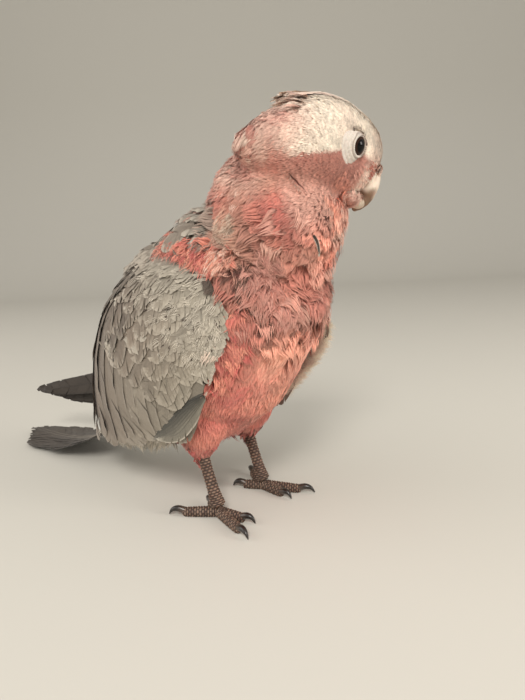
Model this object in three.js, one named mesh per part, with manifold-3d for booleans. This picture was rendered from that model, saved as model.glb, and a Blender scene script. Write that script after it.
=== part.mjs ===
// A galah, life size, standing on flat feet with its tail laid behind it and its head turned left.
// Millimetres. +X is the bird's left, +Y its back, +Z up. The bird is built about the upright line
// under its shoulders and then moved so that the middle of its bounding box stands on the origin.
import * as THREE from "three";
import { mergeVertices } from "three/addons/utils/BufferGeometryUtils.js";
import Module from "manifold-3d";

// ---- Driving dimensions -------------------------------------------------------------------
const GAP = 0.3; // parting gap between neighbouring pieces
const BREAST = 41; // half width of the trunk
const HEAD_HEIGHT = 182.5; // of the middle of the head above the floor
const HEAD_TURN = 56; // degrees, to the bird's left
const HEAD_PITCH = 28; // degrees, bill down
const EYE_RADIUS = 5.2;
const EYE_SINK = 3.4; // from the mouth of the lids in to the eye's centre
const LID_RADIUS = 3.9; // of the opening between the lids
const ORBIT_RADIUS = 7.2; // of the bare skin round the eye
const LEG_OUT = 19.5; // from the middle plane to a leg
const TOE_THICK = 2.9; // half thickness of a toe
const WING_THICK = 26; // from the face of a wing in to the trunk
const VANE_THICK = 1.8; // of the layered flight feathers
const TAIL_TIP = 262; // distance of the tail's end behind the shoulder line

const wasm = await Module();
wasm.setup();
const { CatmullRomCurve3, Vector3 } = THREE;
const vec = (p) => new Vector3(...p);
const spline = (points) => new CatmullRomCurve3(points.map(vec));
const mix = THREE.MathUtils.lerp;
const rise = THREE.MathUtils.smoothstep;
const radians = THREE.MathUtils.degToRad;

// ---- Solids --------------------------------------------------------------------------------
// A closed body from points and triangles, turned to face outwards.
function solid(points, index) {
  const made = (triVerts) => new wasm.Manifold(new wasm.Mesh({
    numProp: 3,
    vertProperties: new Float32Array(points.flatMap((p) => p.toArray())),
    triVerts: new Uint32Array(triVerts),
  }));
  const first = made(index);
  return first.volume() > 0 ? first : made([...index].reverse());
}

// A closed skin over rings of points, with a pole at each end.
function skin(rings, poles) {
  const sides = rings[0].length;
  const last = (rings.length - 1) * sides;
  const pole = rings.length * sides;
  const index = [];
  for (let j = 0; j < sides; j++) {
    const next = (j + 1) % sides;
    for (let start = 0; start < last; start += sides) {
      index.push(start + j, start + next, start + sides + j);
      index.push(start + next, start + sides + next, start + sides + j);
    }
    index.push(pole, next, j, pole + 1, last + j, last + next);
  }
  return solid([...rings.flat(), ...poles], index);
}

// A round body swept along a line. A row is [x, y, z, half width, half depth above, half depth below].
// `ends` are the shares of the length over which the ends round off, `grow` swells the whole body,
// and `across` is the direction of its width.
function loft(rows, { sides, rings, ends, grow = 0, power = 2, across = [1, 0, 0] }) {
  const line = spline(rows.map((row) => row.slice(0, 3)));
  const girth = spline(rows.map((row) => row.slice(3)));
  const arc = (t, end) => (t < end ? Math.sqrt(1 - (1 - t / end) ** 2) : 1);
  const curve = (s) => Math.sign(s) * Math.abs(s) ** (2 / power);
  const made = [];
  for (let i = 0; i < rings; i++) {
    const t = (1 - Math.cos((Math.PI * (i + 0.6)) / (rings + 0.2))) / 2;
    const along = line.getTangent(t);
    const wide = vec(across).addScaledVector(along, -vec(across).dot(along)).normalize();
    const high = new Vector3().crossVectors(wide, along);
    const size = girth.getPoint(t);
    const round = arc(t, ends[0]) * arc(1 - t, ends[1]);
    const middle = line.getPoint(t).addScaledVector(along, (t < 0.5 ? -grow : grow) * (1 - round));
    made.push(Array.from({ length: sides }, (_, j) => {
      const angle = (2 * Math.PI * j) / sides;
      const depth = Math.sin(angle) > 0 ? size.y : size.z;
      return middle.clone()
        .addScaledVector(wide, (size.x * round + grow) * curve(Math.cos(angle)))
        .addScaledVector(high, (depth * round + grow) * curve(Math.sin(angle)));
    }));
  }
  const pole = (t, reach) => line.getPoint(t).addScaledVector(line.getTangent(t), reach);
  return skin(made, [pole(0, -grow), pole(1, grow)]);
}

// A curved plate, with u along it and v across it, both from 0 to 1. `face(u, v)` gives its outer
// side and `inwards(u, v)` the way from there to its inner side.
function plate(face, inwards, alongSteps, acrossSteps) {
  const outer = [];
  const inner = [];
  for (let i = 0; i <= alongSteps; i++)
    for (let j = 0; j <= acrossSteps; j++) {
      const u = i / alongSteps;
      const v = j / acrossSteps;
      outer.push(face(u, v));
      inner.push(face(u, v).add(inwards(u, v)));
    }
  const row = acrossSteps + 1;
  const under = outer.length;
  const index = [];
  for (let i = 0; i < alongSteps; i++)
    for (let j = 0; j < acrossSteps; j++) {
      const a = i * row + j;
      index.push(a, a + row, a + 1, a + 1, a + row, a + row + 1);
      index.push(under + a, under + a + 1, under + a + row);
      index.push(under + a + 1, under + a + row + 1, under + a + row);
    }
  const last = alongSteps * row;
  const rim = [
    ...Array.from({ length: acrossSteps }, (_, j) => j),
    ...Array.from({ length: alongSteps }, (_, i) => i * row + acrossSteps),
    ...Array.from({ length: acrossSteps }, (_, j) => last + acrossSteps - j),
    ...Array.from({ length: alongSteps }, (_, i) => last - i * row),
  ];
  rim.forEach((a, k) => {
    const b = rim[(k + 1) % rim.length];
    index.push(a, b, under + a, b, under + b, under + a);
  });
  return solid([...outer, ...inner], index);
}

// The body's triangles as a three.js geometry.
function geometryOf(shape) {
  const mesh = shape.getMesh();
  return mergeVertices(
    new THREE.BufferGeometry()
      .setAttribute("position", new THREE.BufferAttribute(mesh.vertProperties, mesh.numProp))
      .setIndex(new THREE.BufferAttribute(mesh.triVerts, 1)),
    1e-3,
  );
}

// A closed three.js geometry as a body.
function bodyOf(geometry) {
  const position = geometry.getAttribute("position");
  const point = (_, i) => new Vector3().fromBufferAttribute(position, i);
  return solid(Array.from({ length: position.count }, point), [...geometry.index.array]);
}

// A body swollen by the parting gap, to cut its neighbours with. A vertex on an edge moves further
// than one on a flat, so that each of its faces moves out by the gap.
function roomFor(shape, gap = GAP) {
  const geometry = geometryOf(shape);
  geometry.computeVertexNormals();
  const position = geometry.getAttribute("position");
  const normal = geometry.getAttribute("normal");
  const corners = geometry.index.array;
  const point = (i) => new Vector3().fromBufferAttribute(position, i);
  const outward = (i) => new Vector3().fromBufferAttribute(normal, i);
  const lean = new Float32Array(position.count).fill(1);
  for (let i = 0; i < corners.length; i += 3) {
    const [a, b, c] = [corners[i], corners[i + 1], corners[i + 2]];
    const flat = point(b).sub(point(a)).cross(point(c).sub(point(a))).normalize();
    for (const k of [a, b, c]) lean[k] = Math.min(lean[k], Math.max(0.35, flat.dot(outward(k))));
  }
  const moved = Array.from(lean, (k, i) => point(i).addScaledVector(outward(i), gap / k));
  return solid(moved, [...corners]);
}

const largest = (shape) => shape.decompose().sort((a, b) => b.volume() - a.volume())[0];
const without = (shape, ...cuts) => cuts.reduce((left, cut) => left.subtract(cut), shape);

// Everything below the floor, as a slab to cut with.
const slab = new THREE.BoxGeometry(400, 600, 40).translate(0, 100, -20);
["normal", "uv"].forEach((name) => slab.deleteAttribute(name));
const underFloor = bodyOf(mergeVertices(slab));

// ---- Nodes ---------------------------------------------------------------------------------
const looks = {
  rose: { color: 0xc9736a, roughness: 0.85 },
  cream: { color: 0xe8d6c8, roughness: 0.85 },
  grey: { color: 0xa59c92, roughness: 0.8 },
  quill: { color: 0x3a342e, roughness: 0.6 },
  scaly: { color: 0x8a827c, roughness: 0.7 },
  horn: { color: 0xcabfae, roughness: 0.45 },
  claw: { color: 0x26221f, roughness: 0.4 },
  bare: { color: 0xc9bcb4, roughness: 0.75 },
  eye: { color: 0x0a0808, roughness: 0.08 },
};
const materials = {};
for (const [name, look] of Object.entries(looks))
  materials[name] = new THREE.MeshStandardMaterial({ metalness: 0, ...look });
const bird = new THREE.Group();

function node(name, shape, material) {
  const mesh = new THREE.Mesh(geometryOf(largest(shape)), materials[material]);
  mesh.name = name;
  bird.add(mesh);
}

// ---- Trunk ---------------------------------------------------------------------------------
const trunkShape = (grow) => loft([
  [0, -2, 157, 30, 31, 34],
  [0, 12, 140, 39, 41, 45],
  [0, 29, 117, BREAST, 47, 49.5],
  [0, 48, 92, 41, 46, 51],
  [0, 71, 68, 36, 43, 41],
  [0, 97, 51, 26, 34, 27],
  [0, 124, 37, 17, 20, 15],
  [0, 150, 23, 10, 7, 6],
], { sides: 20, rings: 14, ends: [0.2, 0.1], power: 2.25, grow });
const trunkRoom = trunkShape(GAP);
node("trunk", trunkShape(0), "rose");

// ---- Head ----------------------------------------------------------------------------------
const headMiddle = vec([5, -23, HEAD_HEIGHT]);
const turn = radians(HEAD_TURN);
const pitch = radians(HEAD_PITCH);
const level = vec([Math.sin(turn), -Math.cos(turn), 0]);
const forward = level.clone().multiplyScalar(Math.cos(pitch)).add(vec([0, 0, -Math.sin(pitch)]));
const crownward = level.clone().multiplyScalar(Math.sin(pitch)).add(vec([0, 0, Math.cos(pitch)]));
const rightward = new Vector3().crossVectors(forward, crownward);
// A place on the head from its distances forward, right and up.
const onHead = (ahead, right, up) => headMiddle.clone()
  .addScaledVector(forward, ahead).addScaledVector(rightward, right).addScaledVector(crownward, up);
// A loft in the head's middle plane, that runs forwards (1) or backwards (-1).
const headLoft = (rows, runs, options) => loft(
  rows.map(([ahead, up, ...girth]) => [...onHead(ahead, 0, up).toArray(), ...girth]),
  { across: rightward.clone().multiplyScalar(runs).toArray(), ...options },
);

const skullShape = (grow) => headLoft([
  [27, 3, 8, 10, 11],
  [20, 4, 12, 15.5, 16],
  [10, 5, 16, 19, 21],
  [-2, 3, 20, 21, 23],
  [-14, -1, 21, 18.5, 24],
  [-26, -7, 19, 14, 22],
  [-38, -16, 13, 9, 14],
], -1, { sides: 18, rings: 12, ends: [0.1, 0.25], grow });
const skullRoom = skullShape(GAP);

// An eye looks sideways and a little forward. `at` places a point of the orbit from its distance
// out of the plane of the lids, behind the eye's axis and above it.
const EYE_PLACE = { ahead: 9.5, right: 15.8, up: 5 };
const GAZE = radians(60); // from straight ahead
function orbit(side) {
  const sideways = rightward.clone().multiplyScalar(side);
  const out = sideways.clone().multiplyScalar(Math.sin(GAZE)).addScaledVector(forward, Math.cos(GAZE));
  const back = sideways.clone().multiplyScalar(Math.cos(GAZE)).addScaledVector(forward, -Math.sin(GAZE));
  const place = onHead(EYE_PLACE.ahead, side * EYE_PLACE.right, EYE_PLACE.up);
  const at = (outward, rear, up) => place.clone()
    .addScaledVector(out, outward).addScaledVector(back, rear).addScaledVector(crownward, up);
  return { out, back, at };
}

function eyeball(side, grow = 0) {
  const { at, out } = orbit(side);
  const geometry = new THREE.SphereGeometry(EYE_RADIUS + grow, 12, 8).rotateX(Math.PI / 2);
  ["normal", "uv"].forEach((name) => geometry.deleteAttribute(name));
  geometry.lookAt(out);
  return bodyOf(mergeVertices(geometry.translate(...at(-EYE_SINK, 0, 0).toArray()), 1e-3));
}

function eyeRing(side) {
  const { at } = orbit(side);
  const sides = 12;
  // The ring's cross-section: distance from the eye's axis and height out of the lids' plane.
  const section = [[LID_RADIUS, 0.4], [LID_RADIUS + 1, 1], [ORBIT_RADIUS, -0.6], [6.8, -3], [5.7, -3], [5, -1]];
  const points = [];
  for (let i = 0; i < sides; i++) {
    const angle = (2 * Math.PI * i) / sides;
    section.forEach(([radius, height]) => {
      const drawnBack = rise(Math.cos(angle), 0.3, 1) * (radius > LID_RADIUS ? 2.2 : 0);
      points.push(at(height, radius * Math.cos(angle) + drawnBack, radius * Math.sin(angle)));
    });
  }
  const count = section.length;
  const index = [];
  for (let i = 0; i < sides; i++)
    for (let j = 0; j < count; j++) {
      const a = i * count + j;
      const b = i * count + ((j + 1) % count);
      const c = ((i + 1) % sides) * count + j;
      const d = ((i + 1) % sides) * count + ((j + 1) % count);
      index.push(a, b, c, b, d, c);
    }
  return solid(points, index);
}

let headShape = skullShape(0);
for (const [side, name] of [[1, "right"], [-1, "left"]]) {
  headShape = without(headShape, roomFor(eyeRing(side)), eyeball(side, GAP));
  node("eye_" + name, eyeball(side), "eye");
  node("orbit_" + name, eyeRing(side), "bare");
}
node("head", headShape, "rose");

const neckShape = (grow) => loft([
  [3, -14, 178, 17, 31, 14],
  [2, -9, 168, 25, 37, 27],
  [0, 2, 152, 31, 36, 37],
  [0, 20, 133, 29, 26, 34],
], { sides: 18, rings: 7, ends: [0.1, 0.1], grow });
node("neck", without(neckShape(0), trunkRoom, skullRoom), "rose");
const neckRoom = neckShape(GAP);

const crest = headLoft([
  [23, 13.5, 5, 2.6, 5],
  [12, 22, 10, 2.2, 6],
  [-2, 23.5, 13, 2, 7],
  [-15, 18.5, 13, 2, 7],
  [-25, 11.5, 9, 2, 5],
  [-34, 4, 4, 1.2, 2],
], -1, { sides: 10, rings: 8, ends: [0.1, 0.1] });
node("crest", without(crest, skullRoom, neckRoom), "cream");

const cereShape = (grow) => headLoft([
  [20, 4, 9, 6.5, 8],
  [25, 4, 8.5, 6, 7],
  [29.5, 3.5, 6.5, 4, 5],
], 1, { sides: 12, rings: 4, ends: [0.1, 0.45], grow });
node("cere", cereShape(0).subtract(skullRoom), "rose");

const billUpper = headLoft([
  [21, 0, 7.4, 7, 7],
  [27.5, -0.5, 6.8, 5.2, 6],
  [29.4, -6, 5, 3.8, 4.4],
  [29.2, -12, 1.2, 1.2, 1.4],
], 1, { sides: 12, rings: 7, ends: [0.05, 0.12] });
const billUpperPiece = largest(without(billUpper, skullRoom, cereShape(GAP)));
node("bill_upper", billUpperPiece, "horn");

const billLower = headLoft([
  [16, -9, 6.5, 4, 4.5],
  [22.5, -10.5, 5.6, 3, 4.2],
  [26, -11, 3.2, 1.6, 2.4],
], 1, { sides: 12, rings: 6, ends: [0.05, 0.25] });
node("bill_lower", without(billLower, skullRoom, neckRoom, roomFor(billUpperPiece)), "horn");

// ---- Wings ---------------------------------------------------------------------------------
// Four lines run down the folded wing of the bird's right side, from the wrist to the feather tips:
// along its leading edge, down its face, and along its upper edge over the back.
const wingLines = [
  [[-33, 11, 109], [-40, 6, 98], [-40, 10, 85], [-38, 19, 71], [-37, 33, 57], [-35, 57, 41]],
  [[-37, 15, 114], [-46, 19, 107], [-49, 36, 95], [-47, 56, 78], [-42, 77, 56], [-34, 97, 30]],
  [[-37, 20, 120], [-44, 38, 126], [-44, 62, 124], [-39, 90, 108], [-34, 114, 76], [-28, 133, 32]],
  [[-33, 25, 126], [-28, 48, 140], [-17, 74, 145], [-10, 101, 130], [-8, 127, 95], [-12, 149, 45]],
].map(spline);
const WING_STEPS = [8, 18];
const FLIGHT_TIPS = 9; // rounded feather tips along the wing's end

function wingFace(u, v) {
  const tip = rise(u, 0.86, 1) * 2.6 * Math.abs(Math.sin(Math.PI * FLIGHT_TIPS * v));
  return new CatmullRomCurve3(wingLines.map((line) => line.getPoint(u))).getPoint(v)
    .addScaledVector(wingLines[1].getTangent(u), tip);
}
// Inwards to the trunk, but no further than the bird's middle.
function wingInwards(u, v) {
  const thick = mix(WING_THICK, VANE_THICK, rise(u, 0.35, 0.85));
  return vec([Math.min(thick, -2 - wingFace(u, v).x), 0, 0]);
}
const mirrored = (way) => (u, v) => way(u, v).multiply(vec([-1, 1, 1]));
const wingRight = plate(wingFace, wingInwards, ...WING_STEPS);
const wingLeft = plate(mirrored(wingFace), mirrored(wingInwards), ...WING_STEPS);

// The long primaries come out from under the folded wing as one narrow blade of stacked vanes.
function primaries(topLine, bottomLine, bow, tips, side) {
  const edges = [topLine, bottomLine].map(spline);
  const face = (u, v) => {
    const [high, low] = edges.map((line) => line.getPoint(u));
    const stagger = rise(u, 0.8, 1) * (3 * Math.abs(Math.sin(Math.PI * tips * v)) - 6 * v);
    return high.lerp(low, v)
      .addScaledVector(edges[0].getTangent(u), stagger)
      .add(vec([side * bow * 4 * v * (1 - v), 0, 0]));
  };
  return plate(face, (u) => vec([-side * mix(2.6, VANE_THICK, u), 0, 0]), 6, 3 * tips);
}
const primariesLeft = primaries(
  [[26, 92, 82], [14, 145, 66], [5, 185, 56], [-4, 250, 35]],
  [[33, 84, 49], [22, 140, 36], [10, 180, 29], [-1, 240, 21]],
  2, 4, 1,
);
const primariesRight = primaries(
  [[-36, 36, 61], [-34, 58, 46], [-31, 80, 36], [-28, 98, 31]],
  [[-36, 27, 56], [-34, 50, 38], [-31, 74, 28], [-28, 92, 24]],
  1, 2, -1,
);

// ---- Tail ----------------------------------------------------------------------------------
const tailLine = spline([[0, 112, 42], [0, 140, 28], [0, 166, 15], [0, 195, 6], [0, 226, 2.2], [0, TAIL_TIP, 2]]);
const TAIL_TIPS = 7;
function tailFace(u, v) {
  const half = mix(13, 21.5, rise(u, 0, 0.7));
  const across = 2 * v - 1;
  const roundEnd = -9 * rise(u, 0.7, 1) * across ** 2;
  const tips = rise(u, 0.9, 1) * 2 * Math.abs(Math.sin(Math.PI * TAIL_TIPS * v));
  return tailLine.getPoint(u).addScaledVector(tailLine.getTangent(u), roundEnd + tips)
    .add(vec([half * across, 0, -mix(4, 1, u) * across ** 2]));
}
const tailInwards = (u) => tailLine.getTangent(u).cross(vec([mix(9, 2.4, rise(u, 0, 0.6)), 0, 0]));
const tail = largest(without(plate(tailFace, tailInwards, 8, 14), underFloor, trunkRoom));
const tailRoom = roomFor(tail);
node("tail", tail, "quill");

// ---- Legs ----------------------------------------------------------------------------------
// A toe runs from the middle of the foot at `heading` degrees outwards of straight ahead.
const toes = [
  { name: "inner_front", heading: -8, length: 16, claw: 7 },
  { name: "outer_front", heading: 20, length: 23, claw: 8.5 },
  { name: "outer_back", heading: 148, length: 20, claw: 8 },
  { name: "inner_back", heading: 205, length: 12, claw: 7 },
];
const FOOT = [LEG_OUT, 33, 5];

function leg(sign, name, wing) {
  const place = (rows) => rows.map(([x, ...rest]) => [sign * x, ...rest]);
  const thigh = loft(place([
    [17, 40, 70, 17, 17, 19],
    [19.5, 41, 55, 14, 14, 16],
    [LEG_OUT, 43, 42, 9, 9, 10],
    [LEG_OUT, 43, 33, 5, 5, 5],
  ]), { sides: 14, rings: 8, ends: [0.1, 0.15] });
  const shank = loft(place([
    [LEG_OUT, 43, 37, 3.4, 3.4, 3.4],
    [LEG_OUT, 40, 26, 3, 3.2, 3.2],
    [LEG_OUT, 36, 14, 3.2, 3.4, 3.4],
    [FOOT[0], FOOT[1], FOOT[2], 4.6, 4.6, 4.6],
  ]), { sides: 10, rings: 8, ends: [0.1, 0.16] });
  const thighPiece = largest(without(thigh, trunkRoom, roomFor(wing), tailRoom));
  const tarsus = largest(without(shank, roomFor(thighPiece), underFloor));
  node("thigh_" + name, thighPiece, "rose");
  node("tarsus_" + name, tarsus, "scaly");
  let foot = roomFor(tarsus);
  toes.forEach((toe) => {
    const angle = radians(toe.heading);
    const ahead = [Math.sin(angle), -Math.cos(angle)];
    const row = (reach, height, ...girth) =>
      [sign * (FOOT[0] + reach * ahead[0]), FOOT[1] + reach * ahead[1], height, ...girth];
    const across = [sign * -ahead[1], ahead[0], 0];
    const thick = TOE_THICK;
    const end = toe.length;
    const whole = loft([
      row(2, 2.6, thick, thick, thick),
      row(end * 0.35, 2.4, thick, thick, thick),
      row(end * 0.7, 2.2, thick, thick, thick),
      row(end, 2.1, thick * 0.86, thick * 0.86, thick * 0.86),
    ], { sides: 8, rings: 5, ends: [0.1, 0.12], across }).subtract(underFloor);
    const piece = largest(whole.subtract(foot));
    foot = foot.add(roomFor(piece));
    node(`toe_${name}_${toe.name}`, piece, "scaly");
    const nail = loft([
      row(end - 2, 2.8, 1.9, 2, 1.8),
      row(end + toe.claw * 0.4, 4, 1.6, 1.7, 1.5),
      row(end + toe.claw * 0.8, 3, 1, 1.1, 0.9),
      row(end + toe.claw, 0.9, 0.35, 0.4, 0.4),
    ], { sides: 6, rings: 5, ends: [0.02, 0.05], across });
    node(`claw_${name}_${toe.name}`, without(nail, roomFor(whole), underFloor), "claw");
  });
  return thighPiece;
}
const sides = [
  { sign: -1, name: "right", wing: wingRight, flight: primariesRight },
  { sign: 1, name: "left", wing: wingLeft, flight: primariesLeft },
];
sides.forEach(({ sign, name, wing, flight }) => {
  const wingPiece = largest(without(wing, trunkRoom, neckRoom));
  const thigh = leg(sign, name, wingPiece);
  node("wing_" + name, wingPiece, "grey");
  const cuts = [wingPiece, thigh].map((piece) => roomFor(piece, 2 * GAP));
  node("primaries_" + name, without(flight, ...cuts, trunkRoom, tailRoom), "quill");
});

// ---- Place on the origin -------------------------------------------------------------------
const box = new THREE.Box3().setFromObject(bird);
const middle = box.getCenter(new Vector3());
bird.position.set(-middle.x, -middle.y, -box.min.z);

export default bird;
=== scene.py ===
"""A life-size galah: one skin with its plumage, flight feathers, bill, eyes and ringed feet."""
import math

import bmesh
import bpy
import numpy as np
from mathutils import Matrix, Vector
from mathutils.bvhtree import BVHTree
from mathutils.kdtree import KDTree


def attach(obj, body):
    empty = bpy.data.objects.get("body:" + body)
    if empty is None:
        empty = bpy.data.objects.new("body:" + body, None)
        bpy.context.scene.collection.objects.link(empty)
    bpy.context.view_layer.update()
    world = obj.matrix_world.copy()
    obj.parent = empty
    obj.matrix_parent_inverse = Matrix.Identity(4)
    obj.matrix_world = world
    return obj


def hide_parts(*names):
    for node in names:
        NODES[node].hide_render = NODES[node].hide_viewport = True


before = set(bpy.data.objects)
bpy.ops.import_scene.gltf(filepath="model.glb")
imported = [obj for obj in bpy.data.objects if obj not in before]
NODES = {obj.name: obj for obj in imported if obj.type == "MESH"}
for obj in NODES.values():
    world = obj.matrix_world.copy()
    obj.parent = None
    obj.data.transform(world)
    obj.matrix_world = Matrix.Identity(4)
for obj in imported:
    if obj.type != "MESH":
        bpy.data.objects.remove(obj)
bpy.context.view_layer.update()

# ---- Working frame ------------------------------------------------------------------------------
# Lengths are in millimetres until a mesh is made. The solids are built about the shoulder line.
SHOULDER = np.array([0.0, -109.56, 0.0])
HEAD_TURN = math.radians(56)
HEAD_PITCH = math.radians(28)
LEVEL = np.array([math.sin(HEAD_TURN), -math.cos(HEAD_TURN), 0.0])
UP = np.array([0.0, 0.0, 1.0])
AHEAD = LEVEL * math.cos(HEAD_PITCH) - UP * math.sin(HEAD_PITCH)
CROWN = LEVEL * math.sin(HEAD_PITCH) + UP * math.cos(HEAD_PITCH)
RIGHT = np.cross(AHEAD, CROWN)
HEAD = SHOULDER + (5, -23, 182.5)
GAZE = math.radians(60)
EYE_AT = (9.5, 15.8, 5)  # ahead, aside and up on the head
EYE_RADIUS = 5.2
EYE_SINK = 3.4
LID = 3.95
FOOT = (19.5, 33, 5)
TURN = 2 * math.pi
SIDES = ((-1, "right"), (1, "left"))  # along the row frame's x
HEAD_SIDES = ((1, "right"), (-1, "left"))  # along the head's own right


def place(*point):
    """A point given about the shoulder line, in the row frame."""
    return np.asarray(point, float) + SHOULDER


def places(*points, side=1):
    """Points given about the shoulder line on the bird's left, or mirrored where side is -1."""
    return (np.array(points, float) + SHOULDER) * (side, 1, 1)


def on_head(ahead, right, up):
    return HEAD + ahead * AHEAD + right * RIGHT + up * CROWN


def head_places(*points, side=1):
    """Points given as ahead, right and up on the head, or mirrored where side is -1."""
    return np.array([on_head(ahead, side * right, up) for ahead, right, up in points])


def head_axes(points):
    """Distances ahead, to the right of and above the head's middle."""
    away = points - HEAD
    return away @ AHEAD, away @ RIGHT, away @ CROWN


def eye_axes(side):
    out = side * math.sin(GAZE) * RIGHT + math.cos(GAZE) * AHEAD
    back = side * math.cos(GAZE) * RIGHT - math.sin(GAZE) * AHEAD
    return head_places(EYE_AT, side=side)[0], out, back


def ring_reach(angle):
    """How far the bare ring round the eye reaches, by the angle from its back up towards the crown."""
    return 5.6 + 4.3 * rise(np.cos(angle + 0.75), -0.2, 1) ** 1.3


def rise(x, low, high):
    t = np.clip((np.asarray(x, float) - low) / (high - low), 0, 1)
    return t * t * (3 - 2 * t)


def mix(a, b, t):
    return a + (b - a) * t


def unit(v):
    return v / np.maximum(np.linalg.norm(v, axis=-1, keepdims=True), 1e-9)


def dot(a, b):
    return (a * b).sum(-1, keepdims=True)


def distance(points, centre):
    return np.linalg.norm(points - centre, axis=-1)


def curve(a, b, c, d, f):
    """The smooth curve from b to c, at f from 0 to 1, between neighbours a and d."""
    return 0.5 * (2 * b + (c - a) * f + (2 * a - 5 * b + 4 * c - d) * f**2 + (3 * b - a - 3 * c + d) * f**3)


def padded(rows):
    """The rows with one more at each end, in line with the last two."""
    return np.concatenate([[2 * rows[0] - rows[1]], rows, [2 * rows[-1] - rows[-2]]])


def spline(points, t):
    """A smooth line through the points, at t from 0 to 1."""
    p = np.asarray(points, float)
    last = len(p) - 1
    x = np.clip(np.asarray(t, float), 0, 1) * last
    i = np.minimum(x.astype(int), last - 1)
    p = padded(p)
    return curve(p[i], p[i + 1], p[i + 2], p[i + 3], (x - i)[..., None])


def waves(points, size, seed, count=9):
    """Smooth noise from about -1 to 1, with features of that size."""
    rng = np.random.default_rng(seed)
    way = unit(rng.normal(size=(count, 3))) / size * rng.uniform(0.6, 1.5, (count, 1)) * TURN / 2.2
    return np.sin(points @ way.T + rng.uniform(0, 7, count)).sum(-1) / math.sqrt(count)


# ---- Colours ------------------------------------------------------------------------------------
def tone(r, g, b):
    """An sRGB colour from 0 to 255, as linear light."""
    c = np.array([r, g, b]) / 255
    return np.where(c <= 0.04045, c / 12.92, ((c + 0.055) / 1.055) ** 2.4)


CREAM = tone(239, 226, 209)
BLUSH = tone(232, 190, 172)
ROSE = tone(184, 121, 108)
CORAL = tone(191, 96, 90)
SALMON = tone(226, 151, 127)
PEACH = tone(192, 158, 137)
MAROON = tone(112, 58, 50)
RUST = tone(150, 78, 62)
UMBER = tone(128, 88, 74)
DOWN = tone(104, 88, 78)
MANTLE = tone(150, 142, 130)
COVERT = tone(150, 142, 128)
SECONDARY = tone(114, 99, 86)
QUILL = tone(52, 43, 35)
PALE = tone(214, 204, 188)
HORN = tone(228, 209, 192)
SCALE = tone(70, 52, 43)
RIM = tone(150, 124, 106)
BARE = tone(208, 196, 186)
CLAW = tone(30, 24, 21)

AXIS = places((0, -14, 178), (0, -2, 157), (0, 12, 140), (0, 29, 117), (0, 48, 92), (0, 71, 68), (0, 97, 51),
              (0, 124, 37), (0, 150, 23), (0, 195, 8), (0, 262, 3))
AXIS_STEPS = 160
AXIS_POINTS = spline(AXIS, np.linspace(0, 1, AXIS_STEPS + 1))
AXIS_WAYS = unit(np.gradient(AXIS_POINTS, axis=0))
BATCH = 20000  # points looked up at once


def on_trunk(points):
    """How far down the trunk's axis, from 0 to 1, and how far to its left and to its back, in mm."""
    flat = points.reshape(-1, 3)
    near = np.empty(len(flat), int)
    for start in range(0, len(flat), BATCH):
        part = flat[start:start + BATCH]
        near[start:start + BATCH] = ((part[:, None] - AXIS_POINTS[None]) ** 2).sum(-1).argmin(1)
    away = flat - AXIS_POINTS[near]
    back = np.cross([1.0, 0, 0], AXIS_WAYS[near])
    shape = points.shape[:-1]
    down = near / AXIS_STEPS
    to_back = (away * back).sum(-1)
    return down.reshape(shape), away[:, 0].reshape(shape), to_back.reshape(shape)


def blend(base, colour, amount):
    return mix(base, colour, np.clip(amount, 0, 1)[..., None])


def layered(colour, *layers):
    """The colour under layers of (colour, amount), laid over it in that order."""
    for paint, amount in layers:
        colour = blend(colour, paint, amount)
    return colour


def near_to(points, centre, size):
    """A soft patch about a place, mirrored on the bird's other side."""
    close = [np.exp(-(((points - places(centre, side=side)[0]) / size) ** 2).sum(-1)) for side in (1, -1)]
    return np.maximum(*close)


def grey_share(points):
    """1 on the grey back and rump, 0 on the pink front, with a ragged edge."""
    back = on_trunk(points)[2]
    ragged = 3.5 * waves(points, 11, 4)
    shoulder = 9 * near_to(points, (34, 16, 144), (12, 14, 12))
    return rise(back + ragged + shoulder, 9, 18) * rise(points[..., 2], 172, 158)


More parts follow.
